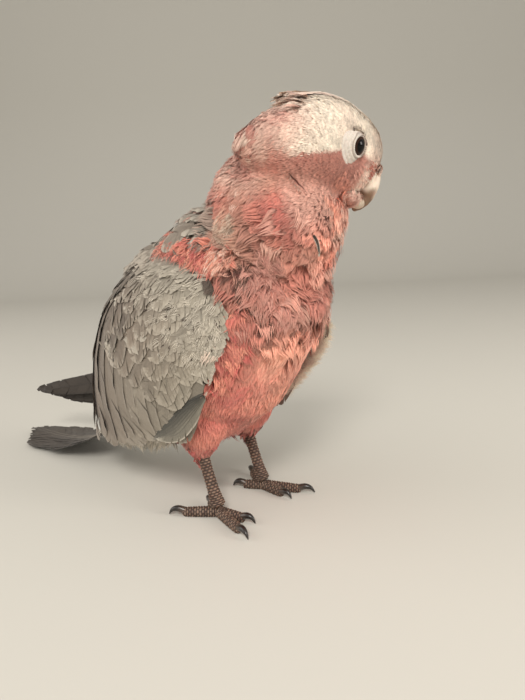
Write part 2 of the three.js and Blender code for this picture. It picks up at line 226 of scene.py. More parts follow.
def markings(points):
    """The plumage's colour at places on the bird."""
    ahead, right, up = head_axes(points)
    aside = np.abs(right)
    down = on_trunk(points)[0]
    x, y, z = np.moveaxis(points, -1, 0)
    broad, mid, fine = (waves(points, size, seed) for size, seed in ((26, 3), (11, 4), (4.5, 5)))
    front = layered(
        CORAL,
        (SALMON, 0.4 + 0.3 * broad + 0.2 * mid),
        (PEACH, 0.5 * rise(mid + 0.6 * broad, 0.3, 1.3) * rise(z, 85, 120)),
        (ROSE, 0.45 * rise(z, 176, 150) * rise(z, 100, 125)),
        (tone(240, 172, 148) * 1.1, near_to(points, (16, -10, 90), (24, 24, 21))),
        (SALMON * 1.5, 0.9 * near_to(points, (2, -36, 148), (16, 16, 20))),
        (CORAL * 1.1, 0.45 * near_to(points, (22, -16, 157), (16, 16, 8))),
        # Painted shade: umber and down-grey patches where the breast's hollows lie, on both sides.
        (UMBER, 0.6 * near_to(points, (30, -4, 126), (14, 20, 26))),
        (DOWN, 0.6 * near_to(points, (12, -22, 108), (12, 10, 7))),
        (UMBER, 0.3 * rise(fine + mid, 0.5, 1.8) * rise(z, 70, 110) * rise(z, 165, 150)),
        (PEACH, 0.75 * near_to(points, (30, 6, 146), (9, 12, 15))),
        (CORAL * 0.9, 0.45 * near_to(points, (31, 4, 92), (10, 14, 26))),
        (blend(PALE, MANTLE, 0.2 + 0.3 * mid),
         rise(np.maximum(x + 4, -x) + 1.2 * mid, 35, 37.5) * rise(z, 124, 114)))
    back = layered(MANTLE, (DOWN, 0.25 + 0.25 * mid + 0.12 * fine), (PALE, rise(down, 0.5, 0.66)))
    vent = blend(PALE, MANTLE, 0.4 + 0.4 * mid)
    on_it = rise(distance(points, HEAD - 4 * AHEAD), 46, 33) * rise(aside, 27, 22)
    cheek = layered(ROSE, (BLUSH, 0.1 + 0.12 * mid + 0.35 * rise(up, -10, -20)),
                    (UMBER, 0.25 * rise(ahead, -12, -4) * rise(up, -16, -10)))
    cap_edge = np.interp(ahead, [-36, -22, -14, -6.5, 3, 14], [-11.6, -11.9, -11.2, -7, 0.4, 4])
    streak = (up + 3) * 0.755 - (ahead + 32) * 0.656
    band = np.exp(-((streak + 0.8 * fine) / 1.5) ** 2) * rise(ahead, -38, -30) * rise(ahead, -14, -20)
    cap = layered(CREAM, (BLUSH, 0.1 + 0.12 * mid + 0.4 * rise(ahead, -12, -30)),
                  (MANTLE, 0.3 * rise(fine + 0.4 * mid, 0.3, 1.4) * rise(ahead, -24, -6)),
                  (MAROON, 0.2 * band))
    beside_bill = rise(ahead + 0.8 * mid, 14, 19) * rise(up, 3, -1)
    muzzle = rise(ahead, 15, 23) * rise(up, 15, 9) * rise(up, -2, 2)
    hump = rise(aside, 14, 20) * rise(z, 158, 166) * rise(y - SHOULDER[1], -16, -6)
    muted = layered(ROSE, (BLUSH, 0.4 + 0.35 * fine), (PALE, 0.2 * rise(mid, 0, 1)))
    nape = rise(ahead, -12, -25) * rise(up, 8, 0) * rise(up, -38, -26) * rise(aside, 24, 18)
    return layered(
        front,
        (back, grey_share(points)),
        (vent, rise(down, 0.58, 0.68)),
        (cheek, 0.9 * on_it * rise(ahead + 0.75 * up, -34, -26)),
        (cap, on_it * rise(up + 0.8 * fine, cap_edge - 1.4, cap_edge + 1.4)),
        (blend(BLUSH, CREAM, 0.4 + 0.4 * fine), on_it * beside_bill),
        (blend(BLUSH, CREAM, rise(up, 5, 12)), 0.8 * on_it * muzzle),
        (blend(ROSE, BLUSH, 0.2 + 0.25 * fine), 0.85 * hump),
        (muted, 0.85 * nape))


# ---- Meshes -------------------------------------------------------------------------------------
def link(name, data):
    """An object of that data, in the scene."""
    made = bpy.data.objects.new(name, data)
    bpy.context.scene.collection.objects.link(made)
    return made


def mesh_of(name, points, faces, material, colours=None, maps=None):
    """An object from points in mm and faces, a list of index arrays, with colours per point and UV maps."""
    mesh = bpy.data.meshes.new(name)
    corners = np.concatenate([f.ravel() for f in faces])
    counts = np.concatenate([np.full(len(f), f.shape[1]) for f in faces])
    mesh.vertices.add(len(points))
    mesh.vertices.foreach_set("co", (points * 0.001).astype(np.float32).ravel())
    mesh.loops.add(len(corners))
    mesh.loops.foreach_set("vertex_index", corners.astype(np.int32))
    mesh.polygons.add(len(counts))
    mesh.polygons.foreach_set("loop_start", np.concatenate([[0], np.cumsum(counts)[:-1]]).astype(np.int32))
    mesh.polygons.foreach_set("use_smooth", np.ones(len(counts), bool))
    if colours is not None:
        rgba = np.ones((len(points), 4), np.float32)
        rgba[:, :3] = np.clip(colours, 0, 1)
        layer = mesh.color_attributes.new("plumage", "FLOAT_COLOR", "POINT")
        layer.data.foreach_set("color", rgba.ravel())
    for map_name, uv in (maps or {}).items():
        mesh.uv_layers.new(name=map_name).data.foreach_set("uv", uv[corners].astype(np.float32).ravel())
    mesh.update(calc_edges=True)
    mesh.materials.append(material)
    return link(name, mesh)


def add_piece(name, points, faces, look, slot, colours, *nodes, maps=None):
    """A visible piece that rides on the bird and stands for those nodes. slot is not used."""
    piece = mesh_of(name, points, faces, LOOKS[look].material, colours, maps)
    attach(piece, "root")
    if nodes:
        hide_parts(*nodes)
    return piece


def grid_faces(rows, columns, wrap=False):
    """The quads of a grid of points, joined round its columns if it wraps."""
    i, j = np.meshgrid(np.arange(rows - 1), np.arange(columns if wrap else columns - 1), indexing="ij")
    a = i * columns + j
    b = i * columns + (j + 1) % columns
    return np.stack([a, b, b + columns, a + columns], -1).reshape(-1, 4)


def closed_faces(rows, columns):
    """The faces of a grid wrapped round its columns and closed by the two points that follow it."""
    j = np.arange(columns)
    after = (j + 1) % columns
    pole = np.full(columns, rows * columns)
    last = (rows - 1) * columns
    first_cap = np.stack([pole, after, j], -1)
    last_cap = np.stack([pole + 1, last + j, last + after], -1)
    return [grid_faces(rows, columns, True), np.concatenate([first_cap, last_cap])]


def turned_over(faces):
    return [f[:, ::-1] for f in faces]


def ball(polar, turns):
    """Points of a unit ball, ring by ring, about its third axis."""
    turn = np.arange(turns) * TURN / turns
    sin, cos = np.sin(polar)[:, None], np.cos(polar)[:, None]
    return np.stack([sin * np.cos(turn), sin * np.sin(turn), cos + 0 * turn], -1).reshape(-1, 3)


def tube(rows, sides, rings, across, ends=(0.1, 0.1), relief=None):
    """A closed round body along a line of [x, y, z, half width, half depth above, half depth below]. Returns
    its points, faces, and how far along and round each point is. relief(along, angle) is added to the radius."""
    rows = np.asarray(rows, float)
    t = (1 - np.cos(math.pi * (np.arange(rings) + 0.5) / rings)) / 2
    t = mix(np.linspace(0.004, 0.996, rings), t, 0.35)
    middle = spline(rows[:, :3], t)
    size = spline(rows[:, 3:], t)
    along = unit(spline(rows[:, :3], t + 0.002) - spline(rows[:, :3], t - 0.002))
    wide = unit(across - dot(across, along) * along)
    high = np.cross(wide, along)
    rounding = [np.sqrt(1 - np.maximum(1 - s / end, 0) ** 2) for s, end in zip((t, 1 - t), ends)]
    rounding = (rounding[0] * rounding[1])[:, None]
    angle = np.arange(sides) * TURN / sides
    grow = relief(t[:, None], angle[None]) if relief else np.zeros((rings, sides))
    depth = np.where(np.sin(angle) > 0, size[:, 1:2], size[:, 2:3])
    x = (size[:, :1] * rounding + grow) * np.cos(angle)
    y = (depth * rounding + grow) * np.sin(angle)
    ring = middle[:, None] + x[..., None] * wide[:, None] + y[..., None] * high[:, None]
    points = np.concatenate([ring.reshape(-1, 3), middle[:1], middle[-1:]])
    return (points, closed_faces(rings, sides), np.append(np.repeat(t, sides), [0, 1]),
            np.append(np.tile(angle, rings), [0, 0]))


# ---- Materials ----------------------------------------------------------------------------------
class Look:
    """A node material with a Principled shader. Names its nodes' sockets in one place."""

    def __init__(self, name, **values):
        self.name = name
        self.material = bpy.data.materials.new(name)
        self.material.use_nodes = True
        self.tree = self.material.node_tree
        self.shader = self.tree.nodes["Principled BSDF"]
        for socket, value in values.items():
            self.shader.inputs[socket.replace("_", " ")].default_value = value

    def node(self, kind, links=(), **settings):
        made = self.tree.nodes.new("ShaderNode" + kind)
        for key, value in settings.items():
            if key.startswith("in_"):
                socket = key[3:]
                made.inputs[int(socket) if socket.isdigit() else socket].default_value = value
            else:
                setattr(made, key, value)
        for socket, source in links:
            self.tree.links.new(source, made.inputs[socket])
        return made

    def math(self, operation, *sources, **values):
        """A Math node's result. Sources are linked in order, and None leaves that socket to its value."""
        links = [(k, source) for k, source in enumerate(sources) if source is not None]
        return self.node("Math", links, operation=operation, **values).outputs[0]

    def set(self, socket, source):
        self.tree.links.new(source, self.shader.inputs[socket])

    def place(self, stretch=None):
        where = self.node("TexCoord").outputs["Object"]
        if stretch:
            where = self.node("VectorMath", [(0, where)], operation="MULTIPLY", in_1=stretch).outputs[0]
        return where

    def noise(self, scale, detail=3.0, roughness=0.55, vector=None):
        return self.node("TexNoise", [("Vector", vector or self.place())],
                         in_Scale=scale, in_Detail=detail, in_Roughness=roughness).outputs["Fac"]

    def ramp(self, source, low, high, a, b):
        made = self.node("MapRange", [("Value", source)])
        for key, value in (("From Min", low), ("From Max", high), ("To Min", a), ("To Max", b)):
            made.inputs[key].default_value = value
        return made.outputs["Result"]

    def paint(self, factor):
        """The piece's own colours, times a grey factor."""
        own = self.node("Attribute", attribute_name="plumage").outputs["Color"]
        shaded = self.node("VectorMath", [(0, own), (3, factor)], operation="SCALE")
        self.set("Base Color", shaded.outputs["Vector"])

    def bump(self, height, strength, depth):
        made = self.node("Bump", [("Height", height)], in_Strength=strength, in_Distance=depth)
        self.set("Normal", made.outputs["Normal"])


def mottled(name, mottle, shades, relief=None, stretch=None, **values):
    """A look mottled between two shades by noise, as (scale, detail, roughness). relief is more noise, with a
    strength and a depth in m after those, and both can be stretched."""
    look = Look(name, **values)
    where = look.place(stretch)
    look.paint(look.ramp(look.noise(*mottle, where), 0.3, 0.7, *shades))
    if relief:
        look.bump(look.noise(*relief[:3], where), *relief[3:])
    return look


def vane_look():
    """Barbs slant 0.85 mm along for each mm out. The Vane map holds mm across and along the feather."""
    look = Look("vane", Roughness=0.58, Specular_IOR_Level=0.35, Sheen_Weight=0.12, Sheen_Roughness=0.5)
    split = look.node("SeparateXYZ", [(0, look.node("UVMap", uv_map="Vane").outputs["UV"])]).outputs
    slant = look.math("MULTIPLY_ADD", look.math("ABSOLUTE", split["X"]), None, split["Y"], in_1=-0.85)
    phase = look.math("MULTIPLY_ADD", look.noise(260, 2.0), None, slant, in_1=1.1)
    barbs = look.node("TexWave", [("Vector", look.node("CombineXYZ", [("X", phase)]).outputs[0])],
                      in_Scale=0.42, in_Distortion=0.0).outputs["Fac"]
    clumps = look.noise(1.0, vector=look.node("CombineXYZ", [("X", slant), ("Y", split["X"])]).outputs[0])
    look.paint(look.math("MULTIPLY", look.ramp(clumps, 0.3, 0.7, 0.86, 1.1),
                         look.ramp(barbs, 0, 1, 0.93, 1.04)))
    look.bump(barbs, 0.35, 0.00012)
    return look


def make_looks():
    made = [
        mottled("plume", (900, 2.0, 0.55), (0.88, 1.12), Roughness=0.72, Specular_IOR_Level=0.28,
                Sheen_Weight=0.18, Sheen_Roughness=0.5),
        vane_look(),
        mottled("skin", (420, 4.0, 0.55), (0.6, 1.05), (700, 3.0, 0.55, 0.5, 0.0006), Roughness=0.85,
                Specular_IOR_Level=0.2),
        mottled("horn", (900, 4.0, 0.6), (0.84, 1.06), (1500, 3.0, 0.6, 0.4, 0.0002), (1, 1, 0.35),
                Roughness=0.5, Specular_IOR_Level=0.4, Subsurface_Weight=0.08),
        *(mottled(name, (grain, 4.0, 0.55), (0.84, 1.1), (grain * 1.6, 4.0, 0.55, 0.6, 0.0003),
                  Roughness=0.62, Specular_IOR_Level=0.4, Subsurface_Weight=0.05)
          for name, grain in (("bare", 900), ("scaly", 1400))),
        mottled("claw", (500, 3.0, 0.5), (0.75, 1.5), (900, 2.0, 0.5, 0.25, 0.0002), (1, 1, 4),
                Roughness=0.32, Coat_Weight=0.3, Coat_Roughness=0.25),
        mottled("eye", (2600, 3.0, 0.55), (0.7, 1.4), Roughness=0.03, Specular_IOR_Level=0.16)]
    looks = {look.name: look for look in made}
    horn = looks["horn"]
    horn.set("Roughness", horn.ramp(horn.noise(500), 0.3, 0.7, 0.42, 0.65))
    return looks


LOOKS = make_looks()


# ---- Skin ---------------------------------------------------------------------------------------
VOXEL = 0.0019
# The folded arm ends at this plane, and only vanes go on
WING_CUT = place(0, 84, 86), np.array([0.0, 0.62, -0.78])
FLESH = ("trunk", "neck", "head", "thigh_right", "thigh_left", "wing_right", "wing_left")
SWELL = 0.0004
BILL_ROOT = on_head(27, 0, -3)
KNEES = places((FOOT[0], 43, 36), (-FOOT[0], 43, 36))


def from_face(points, eye_gap):
    """Distance from the bill's root or the nearer eye, less a margin round each."""
    eyes = [distance(points, on_head(9, 15 * s, 4.5)) - eye_gap for s in (1, -1)]
    return np.minimum.reduce([distance(points, BILL_ROOT) - 7, *eyes])


def from_legs(points):
    return np.minimum(*(distance(points, knee) for knee in KNEES))


def coat_depth(points):
    """How deep the skin lies inside the solids, in mm: least round the face and feet."""
    depth = mix(0.5, 3.9, rise(from_face(points, 6), 0, 42))
    return np.minimum(depth, mix(1.0, 4.2, rise(from_legs(points), 6, 30)))


def swollen_copy(node, by, into):
    """Adds the node's mesh to a bmesh, swollen a little so that it meets its neighbours."""
    part = bmesh.new()
    part.from_mesh(NODES[node].data)
    bmesh.ops.remove_doubles(part, verts=part.verts, dist=1e-6)
    part.normal_update()
    if node.startswith("wing"):
        cut = bmesh.ops.bisect_plane(part, geom=part.verts[:] + part.edges[:] + part.faces[:],
                                     clear_outer=True, plane_co=WING_CUT[0] * 0.001, plane_no=WING_CUT[1])
        edges = [e for e in cut["geom_cut"] if isinstance(e, bmesh.types.BMEdge)]
        bmesh.ops.holes_fill(part, edges=edges)
        part.normal_update()
    for v in part.verts:
        v.co += v.normal * by
    mesh = bpy.data.meshes.new("part")
    part.to_mesh(mesh)
    part.free()
    into.from_mesh(mesh)
    bpy.data.meshes.remove(mesh)


def arrays_of(mesh):
    """A mesh's points in mm, and its triangles."""
    mesh.calc_loop_triangles()
    points = np.empty(len(mesh.vertices) * 3)
    mesh.vertices.foreach_get("co", points)
    triangles = np.empty(len(mesh.loop_triangles) * 3, int)
    mesh.loop_triangles.foreach_get("vertices", triangles)
    return points.reshape(-1, 3) * 1000, triangles.reshape(-1, 3)


class Surface:
    """A triangle surface in mm, with smooth normals and nearest points."""

    def __init__(self, points, triangles):
        self.points, self.triangles = points, triangles
        a, b, c = (points[triangles[:, k]] for k in range(3))
        flat = np.cross(b - a, c - a)
        self.areas = np.linalg.norm(flat, axis=1) / 2
        normals = np.zeros_like(points)
        for k in range(3):
            np.add.at(normals, triangles[:, k], flat)
        self.normals = unit(normals)
        self.tree = BVHTree.FromPolygons(points.tolist(), triangles.tolist())

    def at(self, triangle, share):
        corners = self.triangles[triangle]
        point = (self.points[corners] * share[..., None]).sum(1)
        return point, unit((self.normals[corners] * share[..., None]).sum(1))

    def nearest(self, points):
        hits = [self.tree.find_nearest(p) for p in points.tolist()]
        triangle = np.array([h[2] for h in hits])
        where = np.array([h[0] for h in hits])
        corners = [self.points[self.triangles[triangle, k]] - where for k in (0, 1, 2, 0, 1)]
        opposite = [np.cross(corners[k + 1], corners[k + 2]) for k in range(3)]
        share = np.stack([np.linalg.norm(area, axis=1) for area in opposite], -1)
        return self.at(triangle, share / share.sum(1, keepdims=True))


def make_skin():
    """One closed skin for all the flesh nodes, inside them by the coat's depth."""
    whole = bmesh.new()
    for node in FLESH:
        swollen_copy(node, SWELL, whole)
    mesh = bpy.data.meshes.new("flesh")
    whole.to_mesh(mesh)
    whole.free()
    source = link("flesh", mesh)
    remesh = source.modifiers.new("remesh", "REMESH")
    remesh.mode = "VOXEL"
    remesh.voxel_size = VOXEL
    smooth = source.modifiers.new("smooth", "SMOOTH")
    smooth.factor = 0.5
    smooth.iterations = 9
    made = bpy.data.meshes.new_from_object(source.evaluated_get(bpy.context.evaluated_depsgraph_get()))
    bpy.data.objects.remove(source)
    outer = Surface(*arrays_of(made))
    inner = outer.points - outer.normals * coat_depth(outer.points)[:, None]
    # Skin: the markings darkened and greyed by down, painted shade for the gaps in the coat, least where it is
    # thin.
    short = rise(coat_depth(inner), 3.4, 0.8)[:, None]
    dark = markings(inner) * mix(0.42, 0.74, short) + DOWN * mix(0.16, 0.03, short)
    add_piece("skin", inner, [outer.triangles], "skin", "rose", dark, *FLESH)
    return Surface(inner, outer.triangles)


SKIN = make_skin()

# ---- Lie of the plumage -------------------------------------------------------------------------
# Places along the bird, the way that the feathers lie there, and how far that reaches.
LIE = [
    (on_head(22, 0, 2), -AHEAD, 12),
    (on_head(4, 0, 4), -AHEAD, 15),
    (on_head(-14, 0, 0), -AHEAD - 0.25 * CROWN, 15),
    (on_head(-30, 0, -10), -AHEAD * 0.4 - CROWN, 14),
    (on_head(8, 0, -22), -AHEAD - 1.2 * CROWN, 12),
    *((AXIS_POINTS[k], AXIS_WAYS[k], 20) for k in range(18, 161, 8)),
    *((place(s * 19, 42, z), -UP + (0, 0.1, 0), 9) for s in (1, -1) for z in (62, 52, 42)),
    *((place(s * 36, y, z), -UP + (0, 0.12, 0), 11)
      for s in (1, -1) for y, z in ((0, 118), (0, 104), (3, 90), (9, 76))),
]


def lie(points):
    """The way that the feathers lie at places on the bird."""
    near = np.stack([np.exp(-((points - c) ** 2).sum(-1) / (2 * r * r)) for c, _, r in LIE], -1) + 1e-12
    return unit(near @ np.array([unit(way) for _, way, _ in LIE]))


def scatter(surface, spacing, keep, seed):
    """Evenly scattered roots on the surface, where keep(points) is true. spacing is mm, or gives mm at points."""
    gap_at = spacing if callable(spacing) else lambda p: np.full(len(p), spacing)
    rng = np.random.default_rng(seed)
    centres = surface.points[surface.triangles].mean(1)
    weight = surface.areas / gap_at(centres) ** 2 * keep(centres)
    count = int(weight.sum() * 2.6)
    triangle = rng.choice(len(weight), count, p=weight / weight.sum())
    share = rng.dirichlet((1, 1, 1), count)
    points, normals = surface.at(triangle, share)
    gap = gap_at(points)
    tree = KDTree(count)
    for i, p in enumerate(points.tolist()):
        tree.insert(p, i)
    tree.balance()
    alive = np.ones(count, bool)
    for i, p in enumerate(points.tolist()):
        if alive[i]:
            for _, j, _ in tree.find_range(p, gap[i]):
                alive[j] = j == i
    return points[alive], normals[alive]


def trace(surface, roots, lengths, steps, swerve, heading=None):
    """Paths over the surface from the roots, as points, normals and ways. They run along the lie or the
    heading, turned by swerve radians."""
    points, normals = surface.nearest(roots)
    line, facing, ways = [points], [normals], []
    for _ in range(steps):
        way = lie(points) if heading is None else np.broadcast_to(heading, points.shape)
        way = unit(way - dot(way, normals) * normals)
        side = np.cross(normals, way)
        way = way * np.cos(swerve)[:, None] + side * np.sin(swerve)[:, None]
        ways.append(way)
        points, normals = surface.nearest(points + way * (lengths / steps)[:, None])
        line.append(points)
        facing.append(normals)
    ways.append(ways[-1])
    return np.stack(line, 1), np.stack(facing, 1), np.stack(ways, 1)


def path_of(line, facing):
    """A path along the line, with its normals as near to facing as they can be."""
    way = unit(np.gradient(line, axis=1))
    return line, unit(facing - dot(way, facing) * way), way


def raised(path, height):
    """The path, lifted off its surface by that height in mm."""
    return path[0] + path[1] * height[..., None], *path[1:]


def pick(path, mask):
    return tuple(a[mask] for a in path)


def unwrap(roots):
    """Each root's place on an unwrap of the bird: round its axis, and along it."""
    down, left, back = on_trunk(roots)
    ahead, right, up = head_axes(roots)
    head = distance(roots, HEAD) < 40
    around = np.where(head, np.arctan2(right, up), np.arctan2(left, back)) / TURN + 0.5
    along = np.where(head, 0.3 - ahead / 130, 0.45 + 0.5 * down)
    return np.stack([0.01 + 0.98 * around, 0.01 + 0.98 * np.clip(along, 0, 1)], -1)


STRAND_ROLL = 0.1  # how far strands turn about their length, in radians
STRAND_STIR = 0.05  # how unevenly they stand up
PLUME_PATCH = 0.0015  # a plume's half size on its map


def plumes(name, path, width, lift, colours, strands=9, seed=1, ragged=0.14, clump=0.25, slot="rose",
           fill=0.8):
    """Soft feathers, each a fan of tapered strands along its path. width and lift are in mm per feather, and
    colours gives the root's and the tip's colour per feather."""
    rng = np.random.default_rng(seed)
    count, stations = path[0].shape[:2]
    lane = (np.arange(strands) + 0.5) / strands * 2 - 1
    lane = lane + rng.normal(0, 0.35 / strands, (count, strands))
    reach = 1 - 0.34 * lane**2 - ragged * rng.random((count, strands))
    lane, width, lift = lane[..., None], width[:, None, None], lift[:, None, None]
    u = np.linspace(0, 1, stations)
    at = u[None, None] * reach[..., None] * (stations - 1)
    low = np.minimum(at.astype(int), stations - 2)
    f = (at - low)[..., None]
    rows = np.arange(count)[:, None, None]
    middle, normal, way = (mix(a[rows, low], a[rows, low + 1], f) for a in path)
    normal, way = unit(normal), unit(way)
    side = np.cross(way, normal)
    spread = rise(u, -0.25, 0.5) * (1 - clump * rise(u, 0.55, 1))
    across = lane * spread * width / 2
    height = lift * rise(u, 0.0, 0.9) ** 0.8 * (1 - 0.16 * lane**2)
    height = height * (1 + STRAND_STIR * rng.normal(size=(count, strands, 1)))
    curl = rng.normal(0, 0.04, (count, strands, 1)) * width * u**2
    middle = middle + side * (across + curl)[..., None] + normal * height[..., None]
    half = width / strands * fill * (1 - 0.86 * rise(u, 0.45, 1)) * (0.7 + 0.3 * rise(u, 0, 0.3))
    half = half * rng.uniform(0.75, 1.2, (count, strands, 1))
    lean = rng.normal(0, STRAND_ROLL, (count, strands, 1, 1))
    edge = (side * np.cos(lean) + normal * np.sin(lean)) * half[..., None]
    pairs = np.stack([middle - edge, middle + edge], 3)[:, :, :-1].reshape(count, strands, -1, 3)
    points = np.concatenate([pairs, middle[:, :, -1:]], 2)
    per = points.shape[2]
    k = np.arange(stations - 2)
    quads = np.stack([2 * k, 2 * k + 1, 2 * k + 3, 2 * k + 2], -1)
    tip = np.array([[per - 3, per - 2, per - 1]])
    base = (np.arange(count * strands) * per)[:, None, None]
    share = np.append(np.repeat(u[:-1], 2), 1.0)
    bright = rng.normal(1, 0.06, (count, 1, 1, 1)) * rng.normal(1, 0.035, (count, strands, 1, 1))
    root_colour, tip_colour = (colour[:, None, None] for colour in colours)
    shade = mix(root_colour, tip_colour, rise(share, 0.1, 0.62)[:, None]) * bright
    shade = mix(shade, PALE, 0.16 * rise(share, 0.7, 1)[:, None])
    local = np.stack(np.broadcast_arrays(lane, (share * 2 - 1)[None, None]), -1) * PLUME_PATCH
    uv = unwrap(path[0][:, 0])[:, None, None] + local
    add_piece(name, points.reshape(-1, 3), [(base + quads).reshape(-1, 4), (base + tip).reshape(-1, 3)],
              "plume", slot, shade.reshape(-1, 3), maps={"OFBake": uv.reshape(-1, 2)})


# ---- Body plumage -------------------------------------------------------------------------------
WING_LINES = [
    [(-38, 5.5, 106), (-40.5, 6.5, 97), (-40.5, 10, 86), (-38.5, 18, 74), (-37, 28, 62), (-36, 42, 49)],
    [(-39.5, 5, 119), (-46, 16, 109), (-49, 34, 97), (-47, 55, 80), (-42, 72, 60), (-35.5, 84, 36)],
    [(-40, 10, 131), (-45, 34, 130), (-45, 60, 124), (-40, 90, 108), (-35, 112, 76), (-31, 122, 31.5)],
    [(-38.5, 28, 138), (-31, 50, 143), (-18, 75, 145), (-10, 103, 130), (-8, 130, 95), (-12, 152, 44)],
]
LEFT_SWING = np.array([-3.5, -4.0, 0.0])  # the left wing's leading edge is held a little off the body
WING_GRID = 40


def wing_face(u, v, side):
    """The folded wing's outer face: u from the wrist to the tips, v from its leading edge over the back."""
    u, v = np.broadcast_arrays(np.asarray(u, float), np.asarray(v, float))
    lines = padded(np.stack([spline(line, u) for line in WING_LINES]))
    x = np.clip(v, 0, 1) * 3
    i = np.minimum(x.astype(int), 2)
    near = (np.take_along_axis(lines, (i + k)[None, ..., None], 0)[0] for k in range(4))
    made = curve(*near, (x - i)[..., None])
    if side > 0:
        made = made + rise(1 - 1.5 * v, 0, 1)[..., None] * LEFT_SWING
    return made * (-side, 1, 1) + SHOULDER


def wing_surface(side):
    """The folded wing's outer face as a surface."""
    along_it, across_it = np.meshgrid(*[np.linspace(0, 1, WING_GRID)] * 2, indexing="ij")
    quads = grid_faces(WING_GRID, WING_GRID)
    return Surface(wing_face(along_it, across_it, side).reshape(-1, 3),
                   np.concatenate([quads[:, [0, 1, 2]], quads[:, [0, 2, 3]]]))


WINGS = {side: wing_surface(side) for side in (1, -1)}


def off_wing(points):
    """True where no wing lies over the skin."""
    clear = np.ones(len(points), bool)
    for side, surface in WINGS.items():
        index = np.flatnonzero(points[:, 0] * side > 6)
        if not len(index):
            continue
        hits = [surface.tree.find_nearest(p) for p in points[index].tolist()]
        vertex = surface.triangles[[h[2] for h in hits]][:, 0]
        u, v = vertex // WING_GRID / (WING_GRID - 1), vertex % WING_GRID / (WING_GRID - 1)
        away = np.array([h[3] for h in hits])
        close = np.where(v > 0.02, 14, 4.6)
        clear[index[(u > 0.01) & (v < 0.97) & (away < close)]] = False
    return clear


def tufts_along(name, surface, controls, count, spread, length, heading, colours, lift, width=0.5, down_and_shade=0.4,
                strands=9, seed=1, stray=0.28, clump=0.45, ragged=0.3, fill=0.8, droop=(0, 0, 0),
                slot="rose"):
    """Plumes rooted on the surface along a curve through the controls. length and lift are (least, most)."""
    steps = 5
    rng = np.random.default_rng(seed)
    roots = spline(controls, rng.random(count)) + rng.normal(0, spread, (count, 3))
    lengths = rng.uniform(*length, count)
    path = trace(surface, roots, lengths, steps, rng.normal(0, stray, count), heading)
    path[0][...] += (lengths[:, None] * np.linspace(0, 1, steps + 1) ** 1.5)[..., None] * droop
    tip = mix(colours[0], colours[1], rng.random((count, 1))) * rng.normal(1, 0.06, (count, 1))
    # The root goes towards grey down and darker still: grey down with painted shade at the roots.
    root = mix(tip, DOWN, down_and_shade) * (1 - 0.7 * down_and_shade)
    plumes(name, path, lengths * width, rng.uniform(*lift, count), (root, tip), strands, seed + 1, ragged,
           clump, slot, fill)


def feather_length(points):
    """From under 2 mm on the face to 15 mm on the breast, and shorter down the legs."""
    face = from_face(points, 7)
    length = mix(1.9, 8.5, rise(face, -2, 42)) + 6.5 * rise(face, 38, 80)
    return np.minimum(length, mix(8.5, 15, rise(from_legs(points), 6, 34)))


def scruff(points):
    """How ruffled the plumage is: most on the breast and the nape, least on the belly and the crown."""
    ahead, z = head_axes(points)[0], points[..., 2]
    return np.maximum(rise(z, 92, 112) * rise(z, 168, 145), 0.8 * rise(ahead, -18, -34) * rise(z, 160, 172))


def off_face(points):
    """True clear of the bill's root and the bare rings."""
    ahead, right, up = head_axes(points)
    clear = ~((ahead > 24.5) & (np.abs(right) < 8) & (up < 5))
    for s in (1, -1):
        middle, out, rear = eye_axes(s)
        away = points - middle
        angle = np.arctan2(away @ CROWN, away @ rear)
        across = np.linalg.norm(away - dot(away, out) * out, axis=1)
        clear &= (across > ring_reach(angle) - 1.2) | (away @ out < -6)
    return clear


# A piece's name, its feathers' least and greatest length, their steps and their strands.
PLUMAGE = (("face", 0, 2.9, 3, 5), ("brow", 2.9, 4.6, 3, 7), ("head", 4.6, 8.6, 4, 10),
           ("body", 8.6, 99, 5, 15))
PIECE_TRIANGLES = 150000  # about the most in a piece


def body_plumage():
    """The soft plumage of head, neck, breast and thighs, in pieces by the feathers' length."""
    pink = lambda p: off_wing(p) & (grey_share(p) < 0.5)
    roots, _ = scatter(SKIN, lambda p: 0.22 * feather_length(p) ** 0.9, pink, 11)
    roots = roots[off_face(roots)]
    rng = np.random.default_rng(12)
    length = feather_length(roots) * rng.uniform(0.85, 1.2, len(roots))
    order = np.argsort(roots[:, 2] - 0.6 * roots[:, 1])
    roots, length = roots[order], length[order]
    ahead, _, up = head_axes(roots)
    ruffled = scruff(roots)
    swerve = (0.45 * waves(roots, 15, 21) + 0.25 * rng.normal(size=len(roots))) * (0.16 + 0.9 * ruffled)
    stand = 1 + 0.22 * ruffled * rng.normal(size=len(roots))
    lift = coat_depth(roots) * stand + 1.8 * ruffled * rise(waves(roots, 8, 22), 0.1, 1.4)
    sleek = np.maximum.reduce([0.75 * rise(ahead, -8, -20) * rise(up, -12, -2),
                               0.55 * near_to(roots, (18, -8, 90), (17, 17, 24)),
                               0.4 * near_to(roots, (0, 8, 163), (24, 12, 10))])
    lift = lift * (1 - sleek)
    for name, least, most, steps, strands in PLUMAGE:
        index = np.flatnonzero((length >= least) & (length < most))
        each = strands * (2 * steps - 1)
        for k, part in enumerate(np.array_split(index, math.ceil(len(index) * each / PIECE_TRIANGLES))):
            path = trace(SKIN, roots[part], length[part], steps, swerve[part])
            free = off_wing(path[0][:, -1])
            part, path = part[free], pick(path, free)
            tip = markings(path[0][:, steps * 2 // 3]) * (1 + 0.08 * rng.normal(size=(len(part), 1)))
            shine = 1 - 0.08 * ruffled[part] + 0.17 * ruffled[part] * waves(roots[part], 7, 23)
            tip = tip * shine[:, None]
            # Roots go towards grey down and darker, most for long and ruffled feathers: grey down with painted
            # shade.
            down_and_shade = (mix(0.02, 0.24, rise(length[part], 3, 11)) + 0.45 * ruffled[part])[:, None]
            root = mix(tip, DOWN, down_and_shade) * (1 - 0.45 * down_and_shade)
            width = length[part] * mix(0.62, 0.78, rise(length[part], 3, 12))
            plumes(f"plumage_{name}_{k + 1}", path, width, lift[part], (root, tip), strands=strands,
                   seed=31 + k)


